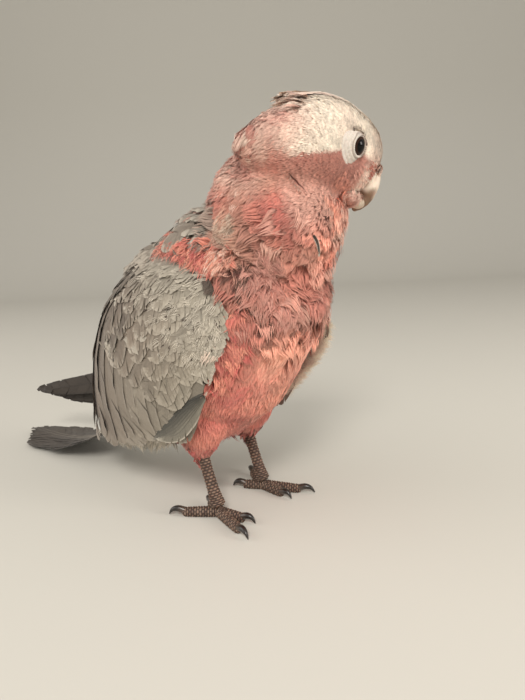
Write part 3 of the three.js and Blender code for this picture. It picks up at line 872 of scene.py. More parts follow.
def locks():
    """Larger tufts that hang loose over the breast, with shadows under them and painted shade at their roots."""
    ruffled = lambda p: ((scruff(p) > 0.35) & (p[:, 2] < 166) & off_wing(p) & (grey_share(p) < 0.3)
                         & (near_to(p, (2, -36, 148), (16, 16, 20)) < 0.4))
    roots, _ = scatter(SKIN, 5.0, ruffled, 106)
    rng = np.random.default_rng(107)
    length = rng.uniform(10, 16, len(roots))
    swerve = rng.normal(0, 0.3, len(roots)) + 0.5 * waves(roots, 20, 108)
    path = trace(SKIN, roots, length, 5, swerve)
    tip = markings(path[0][:, 3]) * rng.normal(1, 0.14, (len(roots), 1))
    tip = blend(tip, BLUSH, 0.3 * (rng.random(len(roots)) < 0.4))
    lift = coat_depth(roots) + rng.uniform(0.4, 3.0, len(roots)) + 1.6 * rise(waves(roots, 16, 117), 0, 1.2)
    # The roots are grey down darkened to about a third: painted shade under the locks.
    plumes("locks", path, length * 0.8, lift, (mix(tip, DOWN, 0.7) * 0.34, tip), strands=20, seed=109,
           ragged=0.3, clump=0.35)


def breast_ridge():
    """A ridge of ruffled tufts down and across the breast, on the right as in life, over a hollow of painted
    shade.
    """
    down = (-0.2, -0.2, -1)
    hollow = places((-31, -2, 136), (-32.5, -4, 126), (-30, -9, 117), (-25, -13, 109))
    # Dark tufts along the hollow beside the ridge: painted shade.
    tufts_along("breast_hollow_shade", SKIN, hollow, 120, 1.6, (6, 9), down, (UMBER * 0.6, MAROON * 0.8),
                (4.2, 5.6), strands=11, seed=156, down_and_shade=0.5, stray=0.35)
    ridge = places((-26, -11, 146), (-27, -9, 136), (-27.5, -10, 127), (-24, -15, 119), (-16, -19, 115))
    tufts_along("breast_ridge", SKIN, ridge, 80, 1.8, (8, 13), down, (ROSE * 0.9, mix(ROSE, BLUSH, 0.3)),
                (4.5, 7.5), width=0.6, strands=16, seed=158, down_and_shade=0.6, stray=0.5, clump=0.6)


def thigh_fluff():
    """Longer plumes that fall over the tops of the legs."""
    low = lambda p: (p[:, 2] < 50) & (p[:, 1] < SHOULDER[1] + 62) & (np.abs(p[:, 0]) > 6)
    roots, _ = scatter(SKIN, 1.9, low, 110)
    rng = np.random.default_rng(111)
    length = rng.uniform(9, 14, len(roots))
    steps = 4
    path = trace(SKIN, roots, length, steps, rng.normal(0, 0.2, len(roots)), (0, 0.1, -1))
    fall = length[:, None] * 0.8 * np.linspace(0, 1, steps + 1)
    path[0][..., 2] = np.minimum(path[0][..., 2], roots[:, 2:] - fall)
    tip = blend(CORAL, ROSE, rng.random(len(roots)))
    # Roots of grey down, darkened: painted shade under the plumes.
    plumes("thigh_fluff", path, length * 0.6, rng.uniform(1.0, 3.0, len(roots)),
           (mix(tip, DOWN, 0.4) * 0.7, tip), seed=112, ragged=0.35, clump=0.4)


body_plumage()
locks()
breast_ridge()
thigh_fluff()


# ---- Vaned feathers -----------------------------------------------------------------------------
BARB_SLANT = 0.95  # how far along the feather a barb runs, for each mm that it runs out
BAND_ROWS = 3
QUILL_STATIONS = 11  # points along the path of a long feather
SHAFT_STATIONS = 12
VANE_SPREAD = 2.4  # how many of its lengths wide a feather's cell of the map is
PLAIN_BARB = (0.0, 500.0)  # where the shaft's points lie on the Vane map


def along(path, s):
    """Points, normals and ways at s from 0 to 1 along paths. s has a row per path."""
    last = path[0].shape[1] - 1
    at = np.clip(s, 0, 1) * last
    low = np.minimum(at.astype(int), last - 1)
    f = (at - low)[..., None]
    rows = np.arange(len(s)).reshape(-1, *[1] * (s.ndim - 1))
    point, normal, way = (mix(a[rows, low], a[rows, low + 1], f) for a in path)
    return point, unit(normal), unit(way)


def deep(per_feather):
    """Room for a value per feather to spread over sides, bands, rows and columns."""
    return per_feather[:, None, None, None, None]


def vanes(name, path, width, lift, base, rim, roll=0.0, bands=4, columns=4, blunt=2.6, waist=0.5, neck=0.4,
          camber=0.3, slit=0.25, shaft=None, shaft_colour=None, rim_from=0.7, shaft_shade=0.12, thick=0.25,
          ragged=0.0, slot="grey", seed=1):
    """Thin closed feathers, each of two vanes whose barbs slant from the shaft to a rounded edge, in bands that
    part in places. width and lift are in mm per feather, roll turns each about its shaft, and base and rim
    colour them."""
    rng = np.random.default_rng(seed)
    count = len(path[0])
    width, lift, roll = (np.broadcast_to(values, count) for values in (width, lift, roll))
    base, rim = np.broadcast_to(base, (count, 3)), np.broadcast_to(rim, (count, 3))
    length = np.linalg.norm(np.diff(path[0], axis=1), axis=-1).sum(1)
    bounds = 1 - (1 - np.linspace(0, 1, bands + 1)) ** 1.5
    local = np.linspace(0, 1, BAND_ROWS)
    edge = mix(bounds[:-1, None], bounds[1:, None], local)
    gap = rng.random((count, 2, bands + 1)) ** 4 * slit
    gap[:, :, [0, -1]] = 0
    gap = (gap / length[:, None, None] * 3)[..., None, None]
    reach = (1 - ragged * rng.random((count, 2, bands)))[..., None, None]
    stir = (rng.normal(0, 0.025, (count, 2, bands)) * width[:, None, None])[..., None, None]
    tint = rng.normal(1, 0.04, (count, 2, bands)) * rng.normal(1, 0.05, (count, 1, 1))
    tint = tint[..., None, None, None]
    side = np.array([-1, 1])[None, :, None, None, None]

    def half_width(e):
        tip = np.clip((e - waist) / (1 - waist), 0, 1) ** blunt
        return (neck + (1 - neck) * rise(e, 0, 0.4)) * np.sqrt(np.maximum(1 - tip, 0))

    def layer(q, under):
        e = np.broadcast_to(edge[None, None, :, :, None], (count, 2, bands, BAND_ROWS, len(q)))
        first, last = (1 - local)[:, None] ** 2, local[:, None] ** 2
        parted = e + q**2 * (first * gap[:, :, :-1] - last * gap[:, :, 1:])
        half = half_width(e) * deep(width / 2) * reach
        s = np.clip(mix(parted - BARB_SLANT * half / deep(length), parted, q**1.3), 0, 1)
        point, normal, way = along(path, s)
        out = side * half * q
        height = deep(lift) * rise(s, -0.1, 1.0) - camber * half * 0.5 * q**2
        height = height + out * np.sin(deep(roll)) + stir * q * s
        height = height - under * thick * (1 - q) + rng.normal(0, 1e-4, height.shape)
        point = point + np.cross(normal, way) * out[..., None] + normal * height[..., None]
        rimmed = np.maximum(q**2 * rise(s, 0.1, 0.4), rise(e, 0.8, 1.0))
        # Painted shade along the shaft, and a little darker towards the root.
        heart = shaft_shade * rise(q, 0.55, 0.0)
        shade = deep(base) * (tint - heart[:, None] - 0.1 * rise(s, 0.6, 0)[..., None])
        shade = mix(shade, deep(rim) * tint, rise(rimmed, rim_from, 1)[..., None])
        return point, shade, np.stack([np.broadcast_to(out, s.shape), s * deep(length)], -1)

    points, shades, maps, faces, owner = [], [], [], [], []

    def add(point, shade, flat, quads):
        faces.append(quads.reshape(-1, 4) + sum(map(len, points)))
        for whole, part in ((points, point), (shades, shade), (maps, flat)):
            whole.append(part.reshape(-1, part.shape[-1]))
        owner.append(np.repeat(np.arange(count), len(points[-1]) // count))

    block = np.arange(count * 2 * bands)
    flipped = (block // bands) % 2 == 1
    for under, q in enumerate((np.linspace(0, 1, columns), np.array([0.0, 1.0]))):
        quads = grid_faces(BAND_ROWS, len(q))
        quads = np.where((flipped ^ (under == 1))[:, None, None], quads[None], quads[None, :, ::-1])
        add(*layer(q, under), quads + (block * BAND_ROWS * len(q))[:, None, None])
    if shaft:
        s = np.broadcast_to(np.linspace(0, 0.97, SHAFT_STATIONS), (count, SHAFT_STATIONS))
        point, normal, way = along(path, s)
        half = shaft / 2 * (1.15 - s)[..., None]
        across = np.cross(normal, way) * half
        top = point + normal * (lift[:, None] * rise(s, -0.1, 1.0))[..., None]
        ring = np.stack([top - across - normal * 0.05, top + normal * half * 1.1,
                         top + across - normal * 0.05], 2)
        each = SHAFT_STATIONS * 3
        colours = np.repeat(np.broadcast_to(shaft_colour, (count, 3)), each, 0)
        add(ring, colours, np.zeros((len(colours), 2)) + PLAIN_BARB,
            grid_faces(SHAFT_STATIONS, 3)[None] + (np.arange(count) * each)[:, None, None])
    flat, owner = np.concatenate(maps), np.concatenate(owner)
    cell = math.ceil(math.sqrt(count))
    corner = np.stack([owner % cell, owner // cell], -1)
    spot = np.clip(flat / (VANE_SPREAD, 1) / length[owner][:, None], -0.5, 1) + (0.5, 0)
    add_piece(name, np.concatenate(points), faces, "vane", slot, np.concatenate(shades),
              maps={"OFBake": (corner + 0.06 + 0.88 * spot) / cell, "Vane": flat})


# ---- Wings --------------------------------------------------------------------------------------
def wing_trace(side, u, v, lengths, steps, swerve):
    """Paths over the folded wing's outer face from (u, v), in mm, turned by swerve towards the back."""
    line, facing, ways = [], [], []
    small = 0.004
    for _ in range(steps + 1):
        a, b = np.clip(u, small, 1 - small), np.clip(v, small, 1 - small)
        along_u = (wing_face(a + small, b, side) - wing_face(a - small, b, side)) / (2 * small)
        along_v = (wing_face(a, b + small, side) - wing_face(a, b - small, side)) / (2 * small)
        way = unit(along_u)
        back = unit(along_v - dot(along_v, way) * way)
        way = way * np.cos(swerve)[:, None] + back * np.sin(swerve)[:, None]
        line.append(wing_face(u, v, side) + np.maximum(u - 1, 0)[:, None] * along_u)
        facing.append(unit(np.cross(along_u, along_v)) * side)
        ways.append(way)
        uu, uv, vv = dot(along_u, along_u), dot(along_u, along_v), dot(along_v, along_v)
        a, b = dot(way, along_u), dot(way, along_v)
        step = (lengths / steps)[:, None] / (uu * vv - uv * uv)
        u = u + (step * (a * vv - b * uv))[:, 0]
        v = v + (step * (b * uu - a * uv))[:, 0]
    return np.stack(line, 1), np.stack(facing, 1), np.stack(ways, 1)


def covert_row(side, u, spacing, rng, least):
    """Roots side by side across the wing at u, spacing mm apart, from that least v up to the back."""
    line = wing_face(u, np.linspace(0, 1, 30), side)
    width = np.linalg.norm(np.diff(line, axis=0), axis=1).sum()
    count = max(int(width * (1 - least) / spacing), 2)
    v = least + (1 - least) * (np.arange(count) + 0.5 + rng.uniform(-0.2, 0.2, count)) / count
    return np.full(count, u) + rng.normal(0, 0.006, count), np.clip(v, 0.005, 0.995)


def wing_colour(u, v, seed):
    """Pale near the bend and the leading edge, browner towards the back and the tips."""
    shade = layered(COVERT, (SECONDARY, rise(u, 0.02, 0.4) * rise(v, 0.0, 0.6) * 0.85),
                    (SECONDARY * 0.78, 0.85 * rise(v, 0.5, 0.85) * rise(u, 0.15, 0.4)),
                    (MANTLE * 0.7, 0.6 * rise(v, 0.75, 1) * rise(u, 0.3, 0.05)))
    return shade * np.random.default_rng(seed).normal(1, 0.05, (len(u), 1))


# Rows of coverts: where along the wing, spacing, length, width and how far the tips stand up.
COVERT_ROWS = [(u, 5.2 + 6 * u, 13 + 14 * u, 12 + 9 * u, 0.45) for u in np.arange(-0.03, 0.29, 0.034)]
COVERT_ROWS += [(0.31, 6.5, 20, 12.5, 0.9), (0.365, 7.5, 25, 14, 1.0), (0.43, 8.5, 31, 16, 1.1)]
GREATER_FROM = 0.29  # from here along the wing the coverts are the greater ones
FLIGHT = 15  # secondaries on a wing


def coverts(side, name, rng):
    """Rows of overlapping feathers from the wing's bend to its middle, the lesser ones and the greater."""
    roots = [covert_row(side, row[0], row[1], rng, 0.04 if row[0] < GREATER_FROM else 0.12)
             for row in COVERT_ROWS]
    u, v = np.concatenate(roots, axis=1)
    length, width, lift = np.repeat(np.array(COVERT_ROWS)[:, 2:], [len(r[0]) for r in roots], axis=0).T
    length = length * rng.uniform(0.88, 1.15, len(u))
    width = width * rng.uniform(0.9, 1.12, len(u))
    downwards = -0.4 * rise(v, 0.0, 0.5) * rise(v, 1.05, 0.7)
    swerve = downwards + rng.normal(0, 0.09, len(u)) + 0.13 * waves(wing_face(u, v, side), 16, 60)
    path = wing_trace(side, u, v, length, 6, swerve)
    base = wing_colour(u, v, 61) * (1 + 0.1 * waves(path[0][:, 3], 9, 64))[:, None]
    rim = mix(base, PALE, 0.18 + 0.15 * rng.random((len(u), 1)))
    small = u < GREATER_FROM
    for tag, mask, settings in (("lesser", small, {"bands": 6, "columns": 3, "ragged": 0.16}),
                                ("greater", ~small, {"bands": 8, "ragged": 0.08})):
        vanes(f"coverts_{tag}_{name}", pick(path, mask), width[mask], lift[mask], base[mask], rim[mask],
              -side * 0.08, seed=62, camber=0.12, slit=0.5, **settings)


def secondaries(side, name, rng):
    """Long feathers side by side, from the wing's middle to its tips."""
    v = np.linspace(0.1, 1.0, FLIGHT)
    t = np.linspace(0, 1, QUILL_STATIONS)
    reach = 1.0 + 0.02 * np.sin(v * 40)
    at_u = 0.47 + (reach[:, None] - 0.47) * t
    at_v = mix(v[:, None], v[:, None] ** 1.9, t)
    line = wing_face(at_u, np.minimum(at_v, 0.995), side)
    line = line + np.maximum(at_u - 1, 0)[..., None] * (line[:, -1:] - line[:, -3:-2]) * 4
    some_u, some_v = at_u[:, ::2], at_v[:, ::2]
    still = np.zeros(some_u.size)
    normal = wing_trace(side, some_u.ravel(), some_v.ravel(), still + 1, 1, still)[1]
    normal = np.repeat(normal[:, 0].reshape(*some_u.shape, 3), 2, 1)[:, :QUILL_STATIONS]
    base = mix(SECONDARY, COVERT, rise(v, 0.9, 0.2)[:, None] * 0.8) * rng.normal(1, 0.04, (FLIGHT, 1))
    vanes(f"secondaries_{name}", path_of(line, normal), 15.5, 0.4, base, mix(base, PALE, 0.14), -side * 0.03,
          bands=12, columns=5, shaft=0.3, shaft_shade=0.05, shaft_colour=base * 0.88, seed=63, slit=0.12,
          camber=0.05, waist=0.86, neck=0.9, blunt=3.0, thick=0.15)


def wing_wisps(side, name):
    """Loose pale barbs that stand off the coverts, and dark strands between them that paint the shadow in each
    slit.
    """
    for tag, count, span, width, strands, fill, lift, tips, seed in (
            ("barbs", 120, (5, 9), 4.0, 6, 0.17, (0.7, 2.0), (PALE * 0.8, PALE), 113),
            # The dark strands are painted shadows in the slit gaps between the coverts.
            ("slit_shadows", 60, (4, 8), 0.9, 2, 0.5, (0.7, 1.1), (QUILL, DOWN * 0.6), 115)):
        rng = np.random.default_rng(seed + side)
        u, v = rng.uniform(-0.02, 0.4, count), rng.uniform(0.04, 0.8, count) ** 1.2
        length = rng.uniform(*span, count)
        path = wing_trace(side, u, v, length, 5, rng.normal(0, 0.4, count) - 0.3)
        tip = mix(*tips, rng.random((count, 1)))
        plumes(f"wing_{tag}_{name}", path, np.full(count, width), rng.uniform(*lift, count),
               (tip * 0.8, tip), strands=strands, seed=seed + 1, ragged=0.5, clump=0.1, slot="grey",
               fill=fill)


for side, name in SIDES:
    rng = np.random.default_rng(50 + side)
    coverts(side, name, rng)
    secondaries(side, name, rng)
    wing_wisps(side, name)


# ---- Tail and primaries -------------------------------------------------------------------------
def quill_paths(starts, ends, facing, bow):
    """Paths from start to end points, bowed by that many mm along facing at their middle."""
    t = np.linspace(0, 1, QUILL_STATIONS)[None, :, None]
    up = np.broadcast_to(facing[:, None], (len(starts), QUILL_STATIONS, 3))
    return path_of(mix(starts[:, None], ends[:, None], t) + up * (4 * t * (1 - t)) * bow, up)


def upwards(line):
    """The ways up from lines that run down the back or the tail."""
    return unit(np.cross([1.0, 0, 0], np.gradient(line, axis=1)))


def tail_feathers():
    """Twelve long feathers in a closed fan, the outer ones shorter and lower, laid along the floor."""
    rng = np.random.default_rng(70)
    k = np.array([-5.5, 5.5, -4.5, 4.5, -3.5, 3.5, -2.5, 2.5, -1.5, 1.5, -0.5, 0.5])
    t = np.linspace(0, 1, QUILL_STATIONS)
    rows = places((0, 118, 40), (0, 140, 27), (0, 166, 14.5), (0, 195, 6), (0, 226, 2.6), (0, 262, 2.0))
    line = []
    for aside in k:
        level = 2.2 - abs(aside) * 0.33
        row = spline(rows, t * (1 - 0.028 * (abs(aside) - 0.5) ** 0.9 - rng.uniform(0, 0.012)))
        row[:, 0] = aside * mix(1.6, 3.1, rise(t, 0, 0.8))
        row[:, 2] = np.maximum(row[:, 2] + level * rise(t, 0.1, 0.7), 0.5 + level)
        line.append(row)
    line = np.array(line)
    base = mix(QUILL, SECONDARY, 0.16) * rng.normal(1, 0.06, (len(k), 1))
    vanes("tail_feathers", path_of(line, upwards(line)), 14.5, 0, base, base * 0.8, np.sign(k) * -0.02,
          bands=16, shaft=0.9, shaft_colour=mix(base, PALE, 0.25), waist=0.86, blunt=3, neck=0.6,
          camber=0.05, slit=0.5, ragged=0.05, thick=0.2, seed=71, slot="quill")


def far_primaries():
    """The left wing's long dark primaries, which show past the back."""
    rng = np.random.default_rng(74)
    count = 8
    t = np.linspace(0, 1, count)[:, None]
    starts = mix(place(29, 74, 54), place(22, 78, 72), t)
    ends = mix(place(6, 216, 34), place(-3, 251, 40), rise(t, 0.1, 0.75)) - rise(t, 0.5, 1) * (0, 16, 0)
    facing = np.broadcast_to(unit(np.array([-1.0, -0.1, 0.25])), (count, 3))
    base = QUILL * rng.normal(1, 0.07, (count, 1))
    vanes("primaries_far", quill_paths(starts, ends, facing, -4.0), mix(13, 15.5, t[:, 0]),
          np.linspace(-1.2, 1.2, count), base, base * 0.75, -0.05, bands=14, shaft=0.8,
          shaft_colour=base * 0.6, waist=0.62, blunt=1.6, neck=0.8, camber=0.1, slit=0.5, ragged=0.06,
          seed=75, slot="quill")


def near_primaries():
    """The clipped right wing's primaries, cut short, along the folded wing's lower edge."""
    rng = np.random.default_rng(76)
    pale_rim = np.array([0.7, 0.45, 0.3, 0.15, 0.1, 0.1, 0.1])[:, None]
    share = np.linspace(0, 1, len(pale_rim))[:, None]
    lower = places((-39.5, 17, 74), (-39.5, 26, 64), (-38.5, 39, 52), (-37, 56, 46))
    upper = places((-39.7, 17.5, 75.5), (-40.2, 31, 69), (-39.2, 46, 58), (-37.5, 66, 44))
    t = np.linspace(0, 1, QUILL_STATIONS)
    path = path_of(mix(spline(lower, t)[None], spline(upper, t)[None], share[..., None]), (-1, -0.25, 0.1))
    base = mix(tone(124, 118, 105), tone(72, 69, 62), share**0.7) * rng.normal(1, 0.05, share.shape)
    vanes("primaries_near", path, 8.0, mix(0.8, -0.4, share[:, 0]), base, mix(base, PALE, pale_rim), 0.1,
          bands=9, columns=5, shaft=0.6, shaft_colour=base * 0.6, waist=0.6, blunt=2.0, neck=0.25,
          camber=0.25, rim_from=0.6, slit=0.4, seed=77, slot="quill")


def tail_coverts():
    """Pale feathers that lap over the roots of the tail, above and below."""
    rng = np.random.default_rng(78)
    count = 70
    k = rng.uniform(-1, 1, count)
    start_y = rng.uniform(96, 128, count)
    length = rng.uniform(26, 40, count) * (1 - 0.25 * np.abs(k))
    y = start_y[:, None] + length[:, None] * np.linspace(0, 1, 7)
    z = np.interp(y, [92, 118, 140, 166, 195, 226], [60, 46, 31.5, 18.5, 10, 6]) - 5 * k[:, None] ** 2
    x = k[:, None] * np.interp(y, [96, 125, 170], [9, 14, 15])
    line = (np.stack([x, y, z], -1) + SHOULDER)[np.argsort(-start_y)]
    facing = unit(np.broadcast_to([0, 0.2, 1.0], line.shape) + line[..., :1] / 14 * (0.5, 0, 0))
    base = blend(MANTLE, PALE, rng.uniform(0.2, 0.7, count))
    vanes("tail_coverts", path_of(line, facing), rng.uniform(11, 15, count), 0.8, base, mix(base, PALE, 0.5),
          bands=6, blunt=2.2, slit=0.6, ragged=0.1, seed=79)


# ---- Back and shoulders -------------------------------------------------------------------------
def mantle():
    """Overlapping grey feathers down the back and rump."""
    roots, _ = scatter(SKIN, 3.8, lambda p: grey_share(p) > 0.35, 82)
    rng = np.random.default_rng(83)
    length = mix(12, 21, rise(roots[:, 2], 150, 70)) * rng.uniform(0.85, 1.15, len(roots))
    path = trace(SKIN, roots, length, 6, 0.22 * waves(roots, 14, 84) + rng.normal(0, 0.08, len(roots)))
    base = layered(MANTLE, (DOWN, 0.25 + 0.3 * waves(roots, 12, 85)),
                   (PALE, 0.5 * rise(roots[:, 2], 80, 50)))
    vanes("mantle_feathers", raised(path, coat_depth(path[0]) * np.linspace(0.45, 0.95, 7)), length * 0.62,
          rng.uniform(0.4, 1.6, len(roots)), base, mix(base, PALE, 0.4), rng.normal(0, 0.1, len(roots)),
          bands=5, slit=0.7, ragged=0.08, seed=86)


def vent_fluff():
    """Pale down under the root of the tail, seen below the folded wings."""
    for side, name in SIDES:
        under = places((24, 62, 44), (24, 84, 39), (20, 106, 36), (14, 126, 31), side=side)
        tufts_along(f"vent_fluff_{name}", SKIN, under, 120, 2.8, (8, 16), (0, 0.75, -0.9), (MANTLE, PALE),
                    (2.0, 6.5), strands=12, seed=122 + side, down_and_shade=0.45, droop=(0, 0.2, -0.6), stray=0.45,
                    ragged=0.5)


def far_fringe():
    """Pale down that shows beyond the breast, along the leading edge of the left wing."""
    edge = wing_face(np.linspace(0.02, 0.9, 6), 0.04, 1)
    # The tips go brighter than cream: painted light on down that lies on the shaded side.
    tufts_along("far_fringe", WINGS[1], edge, 230, 1.5, (7, 12), (0.3, -0.8, -0.5), (CREAM, CREAM * 1.25),
                (0.4, 3.0), strands=12, seed=138, down_and_shade=0, slot="grey", fill=0.4, droop=(0.35, -0.7, -0.2),
                stray=0.4)


def puff():
    """A pale puff of down at the side of the neck."""
    tufts_along("puff", SKIN, places((-30, 2, 157), (-31, 6, 150)), 60, 2.2, (7, 10), None,
                (PEACH, mix(PALE, PEACH, 0.65)), (4.0, 6.0), width=0.7, strands=16, seed=140, down_and_shade=0.3,
                clump=0.3)


def throat():
    """Fluffed feathers that round off the corner between the chin and the neck."""
    front = head_places((21, 0, -14), (16, 0, -19), (12, 0, -24))
    tufts_along("throat", SKIN, front, 300, 2.8, (6, 10), -CROWN - 0.2 * AHEAD, (SALMON * 1.15, BLUSH * 1.1),
                (1.5, 3.6), strands=10, seed=142, down_and_shade=0, clump=0.1, droop=0.15 * AHEAD - 0.1 * CROWN)
    for side, name in HEAD_SIDES:
        jowl = head_places((9, 13.5, -11), (13.5, 12, -10), (17, 9.5, -11), side=side)
        tufts_along(f"jowl_{name}", SKIN, jowl, 110, 1.8, (4, 7), -CROWN, (ROSE, mix(ROSE, SALMON, 0.6)),
                    (0.3, 1.1), width=0.4, strands=7, seed=148, down_and_shade=0, stray=0.2, clump=0.1,
                    droop=0.1 * AHEAD)


def shoulder_tufts(side, name):
    """Coral tufts over the top of the folded wing, locks before it and a downy rim down its leading edge."""
    hang = (0.15 * side, 0.3, -1)
    over = places((37, 5, 141), (37, 14, 143), (35, 26, 146), (33, 40, 148), (31, 52, 146), side=side)
    tufts_along(f"shoulder_tufts_{name}", SKIN, over, 420, 2.2, (6, 11), hang, (CORAL, SALMON), (4.0, 7.0),
                seed=88, stray=0.36)
    downy = places((36.5, 0, 142), (36.5, 7, 143), side=side)
    tufts_along(f"shoulder_down_{name}", SKIN, downy, 60, 1.8, (6, 9), hang,
                (SALMON, mix(SALMON, CREAM, 0.7)), (5.0, 7.5), strands=12, seed=116, down_and_shade=0.2)
    # Dark tufts in the hollow before the wing: painted shade.
    hollow = places((38, 1, 136), (38, 2, 128), side=side)
    tufts_along(f"shoulder_hollow_shade_{name}", WINGS[side], hollow, 26, 1.2, (4, 7), hang,
                (DOWN * 0.8, DOWN * 0.4), (0.6, 1.6), seed=136, down_and_shade=0)
    before = places((35, -3, 126), (34, 0, 108), (34, 5, 93), (32, 13, 78), side=side)
    tufts_along(f"flank_locks_{name}", SKIN, before, 90, 1.6, (9, 14), (-0.1 * side, -0.1, -1),
                (CORAL, SALMON), (3.5, 6.0), strands=11, seed=118, clump=0.6)
    rim = places((39, 3, 126), (40, 1, 108), (40, 5, 92), (38, 13, 78), (37, 22, 66), side=side)
    tufts_along(f"wing_rim_{name}", WINGS[side], rim, 60, 0.6, (2.5, 4), (0.1 * side, -0.15, -1),
                (PALE * 0.7, CREAM * 0.9), (0.2, 0.8), strands=5, seed=120, down_and_shade=0.1, stray=0.25,
                slot="grey", fill=0.2)


def tertials(side, name):
    """The innermost flight feathers, which lap from the wing over the middle of the back."""
    rng = np.random.default_rng(144)
    count = 9
    t = np.linspace(0, 1, 10)
    line = wing_face(np.linspace(0.3, 0.6, count)[:, None] + 0.32 * t, 1.0, side)
    line[..., 0] *= mix(1, 0.32, rise(t, 0, 0.7))
    line[..., 2] += mix(-4.5, 1.5, rise(t, 0, 0.7))
    base = mix(SECONDARY, COVERT, rng.uniform(0.1, 0.5, (count, 1)))
    vanes(f"tertials_{name}", path_of(line, upwards(line) + (0.4 * side, 0, 0)), np.linspace(13, 18, count),
          np.linspace(1.2, 0.6, count) + 0.2 * side, base, mix(base, PALE, 0.2), bands=10, slit=0.4,
          camber=0.25, waist=0.7, neck=0.7, thick=0.15, seed=145)


def scapulars(side, name):
    """Small grey feathers that lap over the join of the folded wing and the back."""
    rng = np.random.default_rng(150)
    across = [1.08, 0.84, 0.6, 0.36]
    rows = 18
    u = np.repeat(np.linspace(0.48, 0.0, rows), len(across)) + rng.normal(0, 0.012, rows * len(across))
    roots = wing_face(u, 0.99, side)
    roots[:, 0] *= np.tile(across, rows)
    length = rng.uniform(15, 19, len(u))
    path = trace(SKIN, roots, length, 6, rng.normal(0, 0.12, len(u)))
    base = blend(MANTLE, SECONDARY, rng.uniform(0.2, 0.8, len(u)))
    vanes(f"scapulars_{name}", raised(path, coat_depth(path[0]) + np.linspace(0.4, 2.6, 7)), length * 0.7,
          0.5, base, mix(base, PALE, 0.35), rng.normal(0, 0.06, len(u)), bands=6, slit=0.5, ragged=0.08,
          seed=151)


tail_feathers()
far_primaries()
near_primaries()
tail_coverts()
mantle()
vent_fluff()
far_fringe()
puff()
throat()
for side, name in SIDES:
    shoulder_tufts(side, name)
    tertials(side, name)
    scapulars(side, name)
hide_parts("tail")
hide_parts("primaries_left")
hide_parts("primaries_right")


# ---- Head pieces --------------------------------------------------------------------------------
def surface_of(node):
    """A carried-over solid's own surface, in mm."""
    points, triangles = arrays_of(NODES[node].data)
    points, merged = np.unique(np.round(points, 3), axis=0, return_inverse=True)
    return Surface(points, merged.ravel()[triangles])


def solid_tube(name, rows, sides, rings, across, look, slot, shade, node, **options):
    points, faces, t, angle = tube(rows, sides, rings, across, **options)
    add_piece(name, points, faces, look, slot, shade(points, t, angle), node)


def horn_tube(name, rows, sides, rings, shade, node, **options):
    """Part of the bill, from rows of [ahead, up, half width, above, below] in the head's middle plane."""
    rows = [[*on_head(ahead, 0, up), *girth] for ahead, up, *girth in rows]
    solid_tube(name, rows, sides, rings, RIGHT, "horn", "horn", shade, node, **options)


def bill():
    """The hooked upper half, with growth lines and a notch in its cutting edge, and the lower half."""
    def notch(t, angle):
        return np.exp(-((t - 0.66) / 0.045) ** 2) * rise(-np.sin(angle), -0.2, 0.7)

    def growth(t, angle):
        return 0.05 * np.sin(t * 46 + 0.9 * np.sin(angle * 2)) * rise(t, 0.1, 0.4) - 0.5 * notch(t, angle)

    def upper_shade(points, t, angle):
        # Darker brown towards the tip, and a painted shadow darkening the notch.
        shade = layered(HORN, (tone(116, 90, 70), rise(t + 0.03 * waves(points, 3, 80), 0.44, 0.6)),
                        (tone(90, 66, 52), 0.75 * notch(t, angle)))
        return shade * (1 + 0.05 * waves(points, 2.0, 81))[:, None]

    horn_tube("bill_upper_horn", [(20, 1.5, 7.4, 6.6, 8), (25.8, 0.8, 7.1, 5.6, 8),
                                  (28.2, -4.8, 5.2, 4.2, 7), (27.8, -10.4, 2.7, 2.8, 4.0),
                                  (25.4, -15.4, 0.6, 1.0, 1.1)],
              44, 70, upper_shade, "bill_upper", ends=(0.1, 0.05), relief=growth)
    horn_tube("bill_lower_horn", [(15, -8.5, 6.4, 4.2, 4.6), (22, -10.2, 5.8, 3.2, 4.4),
                                  (26, -11, 4.4, 2.0, 3.4), (28, -9.4, 2.8, 1.0, 2.2)],
              36, 44, lambda p, t, a: blend(HORN, tone(150, 124, 98), 0.35 + 0.3 * rise(t, 0.5, 1)),
              "bill_lower", ends=(0.1, 0.12), relief=lambda t, a: 0.08 * np.sin(t * 40) * rise(t, 0.1, 0.4))


def crest():
    """Long narrow feathers from the forehead back over the crown, loose only at their tips."""
    on_top = lambda p: (np.abs(head_axes(p)[1]) < 9.5) & (head_axes(p)[2] > 8) & (head_axes(p)[0] > -21)
    roots, _ = scatter(SKIN, 2.1, on_top, 90)
    ahead, right, _ = head_axes(roots)
    rng = np.random.default_rng(91)
    length = mix(17, 7, rise(ahead, 0, 20)) * rng.uniform(0.85, 1.25, len(roots))
    length = np.minimum(length, np.maximum(ahead + 32 + rng.uniform(-6, 5, len(roots)), 5))
    inwards = -0.05 * right + rng.normal(0, 0.07, len(roots))
    line, facing, _ = trace(SKIN, roots, length, 8, inwards, -AHEAD)
    at, across, _ = head_axes(line)
    s = np.linspace(0, 1, line.shape[1])
    over = np.sqrt(np.maximum(1 - (across / 12) ** 2, 0))
    proud = coat_depth(line) - 0.6 + over * mix(0.3, 1.3, rise(at, 14, -14))
    loose = rise(s, 0.2, 1) * mix(0, 3.6, rise(at, -14, -30)) * rng.uniform(0, 1, (len(roots), 1))
    rear = rise(ahead, 0, -18)
    parting = rise(np.abs(right), 8.2, 9.3) * rise(ahead, 22, 8)
    base = layered(CREAM, (BLUSH, 0.1 + 0.45 * rear),
                   (MAROON, 0.6 * parting + 0.35 * rear * (rng.random(len(roots)) < 0.35)))
    width = mix(4.6, 2.6, rise(ahead, 2, 22)) * rng.uniform(0.85, 1.15, len(roots))
    vanes("crest_feathers", path_of(line + CROWN * (proud + loose)[..., None], facing), width, 0.4, base,
          blend(base, CREAM, 0.7 * (1 - parting)), columns=3, blunt=1.6, waist=0.4, camber=0.4, slit=0.8,
          ragged=0.12, thick=0.15, seed=92, slot="cream")
    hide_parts("crest")


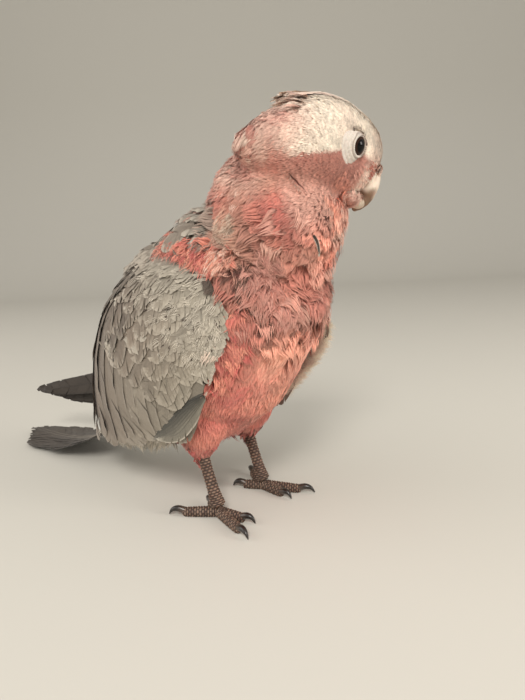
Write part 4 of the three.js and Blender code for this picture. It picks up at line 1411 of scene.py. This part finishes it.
def lores():
    """Short feathers that stand forward over the cere, and the skin under them."""
    surface = surface_of("cere")
    roots, normals = scatter(surface, 0.75, lambda p: np.ones(len(p)), 95)
    roots = roots[normals @ (AHEAD + CROWN) > -0.6]
    rng = np.random.default_rng(96)
    length = rng.uniform(2.2, 3.8, len(roots))
    path = trace(surface, roots, length, 5, rng.normal(0, 0.35, len(roots)), AHEAD - 1.1 * CROWN)
    tip = layered(BLUSH, (CREAM, rng.random(len(roots)) * 0.6),
                  (RUST, 0.75 * (rng.random(len(roots)) < 0.3)))
    plumes("lores", path, length * 0.5, rng.uniform(0.5, 1.5, len(roots)), (tip * 0.7, tip), strands=4,
           seed=97)
    # The skin under the lores is a darkened blush: painted shade under the feathers.
    add_piece("cere_skin", surface.points - surface.normals * 0.6, [surface.triangles], "skin", "rose",
              np.broadcast_to(BLUSH * 0.55, surface.points.shape), "cere")


def chin():
    """Fluffed feathers that hide the gape and most of the lower bill."""
    def under(points):
        ahead, _, up = head_axes(points)
        return (ahead > 14) & (up < 0) & (up > -17)

    rng = np.random.default_rng(98)
    parts = []
    for surface, heading, keep, reach, rising in (
            (surface_of("bill_lower"), -CROWN - 0.35 * AHEAD, lambda p: head_axes(p)[0] < 24.5, 4.4, 1.5),
            (SKIN, 0.75 * AHEAD - CROWN, under, 3.4, 1.1)):
        roots, _ = scatter(surface, 0.56, keep, 99)
        length = reach * rng.uniform(0.7, 1.15, len(roots))
        path = trace(surface, roots, length, 5, rng.normal(0, 0.25, len(roots)), heading)
        parts.append((*path, length, rising * rng.uniform(0.6, 1.2, len(roots))))
    *path, length, lift = (np.concatenate(part) for part in zip(*parts))
    ahead, _, up = head_axes(path[0][:, 0])
    tip = blend(ROSE, BLUSH, 0.05 + 0.25 * rng.random(len(length)))
    pale = blend(BLUSH, CREAM, rng.random(len(tip)))
    tip = blend(tip, pale, rise(ahead, 15.5, 19) * rise(up, -12, -7) * rng.uniform(0.5, 1, len(tip)))
    plumes("chin", path, length * 0.36, lift, (tip * 0.85, tip), strands=6, seed=100, clump=0, ragged=0.3)


def shawl():
    """Long loose feathers from under the crest, and down from the head's back over the neck."""
    rear = [on_head(-17 - 0.02 * r * r, r, 15 - 0.035 * r * r) for r in np.linspace(-13, 13, 7)]
    tufts_along("crest_underlay", SKIN, rear, 150, 2.0, (6, 11), -AHEAD - 0.4 * CROWN,
                (CREAM, mix(BLUSH, ROSE, 0.3)), (1.8, 3.6), width=0.3, strands=7, seed=152, down_and_shade=0.35,
                stray=0.14, clump=0.7, slot="cream")
    left = head_places((-4, -19, -6), (-13, -18, -4), (-21, -13, -5), (-27, -6, -8))
    tufts_along("shawl", SKIN, left, 190, 2.6, (8, 13), (0.12, 0.6, -1), (ROSE, mix(ROSE, BLUSH, 0.7)),
                (2.6, 4.2), strands=11, seed=154, down_and_shade=0.3, stray=0.2, droop=(0.08, 0.2, 0))


def nape_wisps():
    """Ruffled feathers that stand off the back of the head, with pale tips and dark roots in painted shade."""
    behind = lambda p: (((head_axes(p)[0] < -24) & (head_axes(p)[2] > -34) & (head_axes(p)[2] < -9))
                        | ((p[:, 2] > 157) & (p[:, 1] > SHOULDER[1] - 12) & (head_axes(p)[1] < -17)))
    roots, _ = scatter(SKIN, 2.8, behind, 102)
    rng = np.random.default_rng(103)
    length = rng.uniform(6, 10, len(roots))
    swerve = rng.normal(0, 0.25, len(roots)) + 0.4 * waves(roots, 9, 104)
    path = trace(SKIN, roots, length, 5, swerve, -0.7 * AHEAD - CROWN)
    tip = layered(ROSE, (BLUSH, rng.uniform(0.2, 1, len(roots))),
                  (PALE, 0.4 * (rng.random(len(roots)) < 0.4)))
    lift = coat_depth(roots) * 0.8 + rng.uniform(0.2, 1.8, len(roots))
    # Dark roots: grey down darkened by half, painted shade under the wisps.
    plumes("nape_wisps", path, length * 0.62, lift, (mix(tip, DOWN, 0.7) * 0.5, tip), strands=12, seed=105,
           ragged=0.3, clump=0.35)


def head_lines():
    """Dark lines beside the crest and behind it, the fold below the cheek, and a stray dark quill."""
    thin = {"down_and_shade": 0, "strands": 2, "fill": 0.5}
    for s, name in HEAD_SIDES:
        line = head_places((17, 9.2, 16.6), (7, 10.2, 20.4), (0, 10.3, 20.4), (-9.9, 10.5, 18.1),
                           (-19, 10, 14), side=s)
        edging = (mix(MAROON, ROSE, 0.35), UMBER) if s > 0 else (mix(UMBER, BLUSH, 0.6), BLUSH)
        tufts_along(f"crest_edge_{name}", SKIN, line, 30, 0.25, (4, 7), -AHEAD, edging, (1.0, 1.8),
                    width=0.07, seed=124, stray=0.06, **thin)
        line = head_places((-19, 16.5, 8), (-26, 15, 2), (-34, 12, -4), side=s)
        tufts_along(f"nape_edge_{name}", SKIN, line, 22, 1.6, (4, 7), -AHEAD - 0.5 * CROWN,
                    (mix(MAROON, ROSE, 0.3), UMBER), (1.8, 2.8), width=0.1, seed=126, stray=0.15, **thin)
        middle, _, rear = eye_axes(s)
        arc = [middle + (ring_reach(a) + 0.3) * (rear * math.cos(a) + CROWN * math.sin(a))
               for a in (0.8, 1.4, 2.0, 2.7)]
        tufts_along(f"brow_{name}", SKIN, arc, 54, 0.3, (1.6, 3.0), rear + 0.25 * CROWN, (UMBER * 0.6, DOWN),
                    (0.9, 1.7), width=0.16, seed=128, stray=0.3, **thin)
        flecks = head_places((19, 11, 3), (24, 8.5, 0), (27, 5, 3), side=s)
        tufts_along(f"lore_flecks_{name}", SKIN, flecks, 70, 1.4, (1.5, 2.6), AHEAD - 0.6 * CROWN,
                    (RUST, ROSE), (0.8, 1.5), width=0.3, down_and_shade=0, strands=3, seed=146, fill=0.6)
    fold = head_places((-13.5, 14, -19), (-8, 12.5, -20.5), (0.5, 13.3, -24.5))
    points, normals = SKIN.nearest(spline(fold, np.linspace(0, 1, 12)))
    way = unit(np.gradient(points, axis=0))
    top = coat_depth(points)[:, None]
    crease = (points + normals * (top + 0.7))[None], normals[None], way[None]
    plumes("fold_shadow", crease, np.array([0.7]), np.array([0.4]), (UMBER[None] * 0.35, MAROON[None] * 0.6),
           strands=3, seed=130)
    brink = points + normals * (top + 0.3) + np.cross(way, normals) * 0.9
    tufts_along("fold_brink", SKIN, brink[:9], 34, 0.3, (1.2, 2.0), -AHEAD - 0.1 * CROWN,
                (ROSE * 1.3, CREAM), (3.0, 4.0), width=0.4, down_and_shade=0.3, strands=4, seed=132, fill=0.6)
    path = quill_paths(places((-10.5, -27, 147)), places((-11.5, -29, 138)),
                       unit(np.array([[-0.6, -1.0, 0.2]])), 1.6)
    vanes("stray_quill", path, 1.5, 3.6, QUILL, PALE, 0.6, rim_from=0.5, blunt=1.4, waist=0.3, seed=134)


# ---- Eyes ---------------------------------------------------------------------------------------
LID_BEADS = 34


def beads(centres, radii):
    """Small round scales, as points and faces."""
    rows, columns = 7, 10
    round_it = ball((np.arange(rows) + 0.5) / rows * math.pi, columns)
    round_it = np.concatenate([round_it, [[0, 0, 1.0], [0, 0, -1.0]]])
    base = (np.arange(len(centres)) * len(round_it))[:, None, None]
    points = centres[:, None] + round_it[None] * radii[:, None, None]
    faces = turned_over(closed_faces(rows, columns))
    return points.reshape(-1, 3), [(base + f).reshape(-1, f.shape[1]) for f in faces]


def eye(side, name):
    """An eyeball with a black pupil and a dark brown iris, and the bare ring round it."""
    rings, turns = 40, 64
    middle, out, back = eye_axes(side)
    polar = np.linspace(0.02, math.pi - 0.02, rings)
    radius = EYE_RADIUS * (1 + 0.05 * rise(polar, 0.75, 0.0))
    globe = ball(polar, turns) * np.repeat(radius, turns)[:, None]
    globe = np.concatenate([globe, [[0, 0, radius[0]], [0, 0, -radius[-1]]]])
    points = middle - out * EYE_SINK + globe @ np.array([back, CROWN, out])
    faces = closed_faces(rings, turns)
    angle = np.append(np.repeat(polar, turns), [0, math.pi])
    shade = layered(tone(5, 4, 4), (tone(46, 28, 20), rise(angle, 0.52, 0.6)),
                    (tone(8, 6, 5), rise(angle, 0.86, 0.98)))
    add_piece(f"eyeball_{name}", points, faces if side < 0 else turned_over(faces), "eye", "eye", shade,
              f"eye_{name}")
    orbit(side, name)


def orbit(side, name):
    """The bare ring: a beaded lid margin, folds round it, and a skirt that goes under the feathers."""
    middle, out, back = eye_axes(side)
    rings, turns = 30, 120
    angle = np.arange(turns) * TURN / turns
    k = np.linspace(0, 1, rings)[:, None]
    inner = LID * (1 - 0.02 * np.cos(2 * angle))
    radius = mix(inner - 0.25, ring_reach(angle), np.clip((k - 0.12) / 0.78, 0, 1)) + 0.5 * rise(k, 0.9, 1)
    folds = 0.08 * np.sin((radius - inner) * 4.1 + 2.1 * np.sin(2 * angle) + 1.1 * np.sin(5 * angle + 1))
    folds = folds * rise(k, 0.2, 0.34) * rise(k, 0.95, 0.8)
    wrinkle = 0.04 * np.sin(angle * 31 + 3 * k + 2 * np.sin(3 * angle))
    wrinkle = wrinkle * rise(k, 0.15, 0.3) * rise(k, 0.9, 0.6)
    height = mix(-1.3, 0.6, rise(k, 0.0, 0.16)) - mix(0, 1.9, rise(k, 0.2, 0.95)) - 2.4 * rise(k, 0.88, 1)

    def about(out_by, radius, angle):
        return (middle + out * out_by[..., None] + back * (radius * np.cos(angle))[..., None]
                + CROWN * (radius * np.sin(angle))[..., None])

    points = about(height + folds + wrinkle, radius, angle).reshape(-1, 3)
    faces = [grid_faces(rings, turns, True)]
    # Darker towards the lid; painted shade in the hollows of the folds and in a groove ring just outside the
    # beaded margin.
    groove_shade = np.exp(-(((radius - inner - 1.15) / 0.25) ** 2)).reshape(-1)
    shade = layered(BARE, (tone(150, 128, 118), 0.7 * rise(np.repeat(k[:, 0], turns), 0.24, 0.1)),
                    (tone(150, 124, 112), 0.6 * rise(-(folds + wrinkle).reshape(-1), 0.02, 0.2)),
                    (tone(104, 84, 76), 0.7 * groove_shade))
    turn = np.arange(LID_BEADS) * TURN / LID_BEADS
    rear_low = rise(np.cos(turn) - 0.8 * np.sin(turn), -0.9, 0.7)
    more, more_faces = beads(about(np.full(LID_BEADS, 0.62), LID + 0.42, turn), 0.27 + 0.2 * rear_low)
    faces = (turned_over(faces) if side < 0 else faces) + [f + len(points) for f in more_faces]
    grey = np.repeat(blend(tone(140, 122, 112), tone(216, 206, 196), rear_low), len(more) // LID_BEADS, 0)
    add_piece(f"orbital_ring_{name}", np.concatenate([points, more]), faces, "bare", "bare",
              np.concatenate([shade, grey]), f"orbit_{name}")


bill()
crest()
lores()
chin()
shawl()
nape_wisps()
head_lines()
for side, name in HEAD_SIDES:
    eye(side, name)


# ---- Feet ---------------------------------------------------------------------------------------
# A toe's name, its heading in degrees from ahead, its length and its claw's.
TOES = (("inner_front", -8, 16, 7), ("outer_front", 20, 23, 8.5), ("outer_back", 148, 20, 8),
        ("inner_back", 205, 12, 7))
SCALE_PITCH = 1.45  # from one ring of scales to the next


def scaly_tube(name, rows, across, node, around=7):
    """A leg or toe in rings of bead-like scales, dark between them."""
    length = np.linalg.norm(np.diff([r[:3] for r in rows], axis=0), axis=1).sum()
    count = max(round(length / SCALE_PITCH), 4)

    def bead(t, angle):
        offset = (np.floor(t * count) % 2) * 0.5
        lengthways = np.abs(np.sin(math.pi * t * count)) ** 0.6
        crosswise = np.abs(np.sin((angle / TURN * around + offset) * math.pi)) ** 0.5
        return lengthways * (0.35 + 0.65 * crosswise)

    points, faces, t, angle = tube(rows, 56, count * 7, across, (0.04, 0.1),
                                   lambda t, a: 0.62 * bead(t, a) - 0.45)
    high = bead(t, angle)
    shade = layered(tone(52, 44, 40), (SCALE, rise(high, 0.15, 0.6)),
                    (RIM, 0.75 * rise(high + 0.1 * waves(points, 2, 100), 0.62, 1.0)))
    points[:, 2] = np.maximum(points[:, 2], 0.02)
    add_piece(name, points, faces, "scaly", "scaly", shade, node)


def leg(sign, name):
    """A scaly shank, and four toes laid on the floor, each with its nail."""
    x, y, z = FOOT
    shank = [[*place(sign * x, 43, 37), 3.4, 3.4, 3.4], [*place(sign * x, 40, 26), 3.0, 3.2, 3.2],
             [*place(sign * x, 36, 14), 3.2, 3.4, 3.4], [*place(sign * x, y, z), 4.6, 4.6, 4.6]]
    scaly_tube(f"shank_{name}", shank, np.array([1.0, 0, 0]), f"tarsus_{name}", 8)
    for toe, heading, end, claw in TOES:
        angle = math.radians(heading)
        ahead = np.array([sign * math.sin(angle), -math.cos(angle), 0])
        across = np.array([sign * math.cos(angle), math.sin(angle), 0])

        def row(reach, height, *girth):
            return [*(place(sign * x, y, height) + reach * ahead), *girth]

        rows = [row(0.5, 2.7, 3.0, 3.0, 3.0), row(end * 0.35, 2.5, 2.9, 2.9, 2.9),
                row(end * 0.7, 2.3, 2.7, 2.8, 2.8), row(end + 0.5, 2.3, 2.3, 2.5, 2.5)]
        scaly_tube(f"toe_scales_{name}_{toe}", rows, across, f"toe_{name}_{toe}")
        nail = [row(end - 2, 2.8, 1.9, 2, 1.8), row(end + claw * 0.35, 4.2, 1.7, 1.8, 1.6),
                row(end + claw * 0.75, 3.4, 1.1, 1.2, 1), row(end + claw, 0.95, 0.2, 0.25, 0.25)]
        solid_tube(f"nail_{name}_{toe}", nail, 24, 30, across, "claw", "claw",
                   lambda p, t, a: blend(tone(70, 58, 50), CLAW, rise(t, 0.1, 0.4)), f"claw_{name}_{toe}",
                   ends=(0.02, 0.03))


for sign, name in SIDES:
    leg(sign, name)


# ---- Studio -------------------------------------------------------------------------------------
CAMERA = place(-207.2, -155.3, 142.1)
VIEW = np.array([0.763, 0.618, -0.191])
ROLL = math.radians(3)


def studio():
    """A pale floor that curves up into a backdrop behind the bird."""
    look = Look("floor", Base_Color=(0.6, 0.58, 0.53, 1), Roughness=0.95, Specular_IOR_Level=0.1)
    near, far, radius, width, top = -5000, 1500, 900, 12000, 6000
    turn = np.linspace(0, math.pi / 2, 20)
    bend = np.stack([far + radius * np.sin(turn), radius - radius * np.cos(turn)], -1)
    profile = np.concatenate([[(near, 0)], bend, [(far + radius, top)]])
    away = unit(np.array([VIEW[0], VIEW[1], 0]))
    aside = np.array([away[1], -away[0], 0])
    points = (profile[:, None, :1] * away + profile[:, None, 1:] * UP
              + np.array([-width / 2, width / 2])[None, :, None] * aside).reshape(-1, 3)
    mesh_of("backdrop", points, [grid_faces(len(profile), 2)[:, ::-1]], look.material)


def camera():
    data = bpy.data.cameras.new("camera")
    data.sensor_fit = "AUTO"
    data.sensor_width = 36
    data.lens = 27.05
    data.clip_start = 0.01
    made = link("camera", data)
    back = unit(-VIEW)
    right = unit(np.cross(UP, back))
    up = np.cross(back, right)
    c, s = math.cos(ROLL), math.sin(ROLL)
    matrix = Matrix.Identity(4)
    for column, axis in enumerate((c * right - s * up, s * right + c * up, back, CAMERA * 0.001)):
        for row in range(3):
            matrix[row][column] = axis[row]
    made.matrix_world = matrix
    bpy.context.scene.camera = made


def lamp(name, where, target, size, power, colour):
    data = bpy.data.lights.new(name, "AREA")
    data.size = size
    data.energy = power
    data.color = colour
    made = link(name, data)
    made.location = where
    made.rotation_euler = (Vector(target) - Vector(where)).to_track_quat("-Z", "Y").to_euler()


def lights():
    middle = (0, -0.08, 0.1)
    lamp("key", (-0.95, -0.75, 1.05), middle, 0.42, 15, (1, 0.96, 0.9))
    lamp("front", (0.32, -1.15, 0.42), middle, 0.4, 5.5, (1, 0.95, 0.88))
    lamp("fill", (-0.9, 1.0, 0.7), middle, 1.2, 7, (1, 0.97, 0.93))
    world = bpy.data.worlds.new("studio")
    world.use_nodes = True
    background = world.node_tree.nodes["Background"].inputs
    background["Color"].default_value = (0.86, 0.83, 0.78, 1)
    background["Strength"].default_value = 0.75
    bpy.context.scene.world = world
    bpy.context.scene.view_settings.view_transform = "Standard"


studio()
camera()
lights()
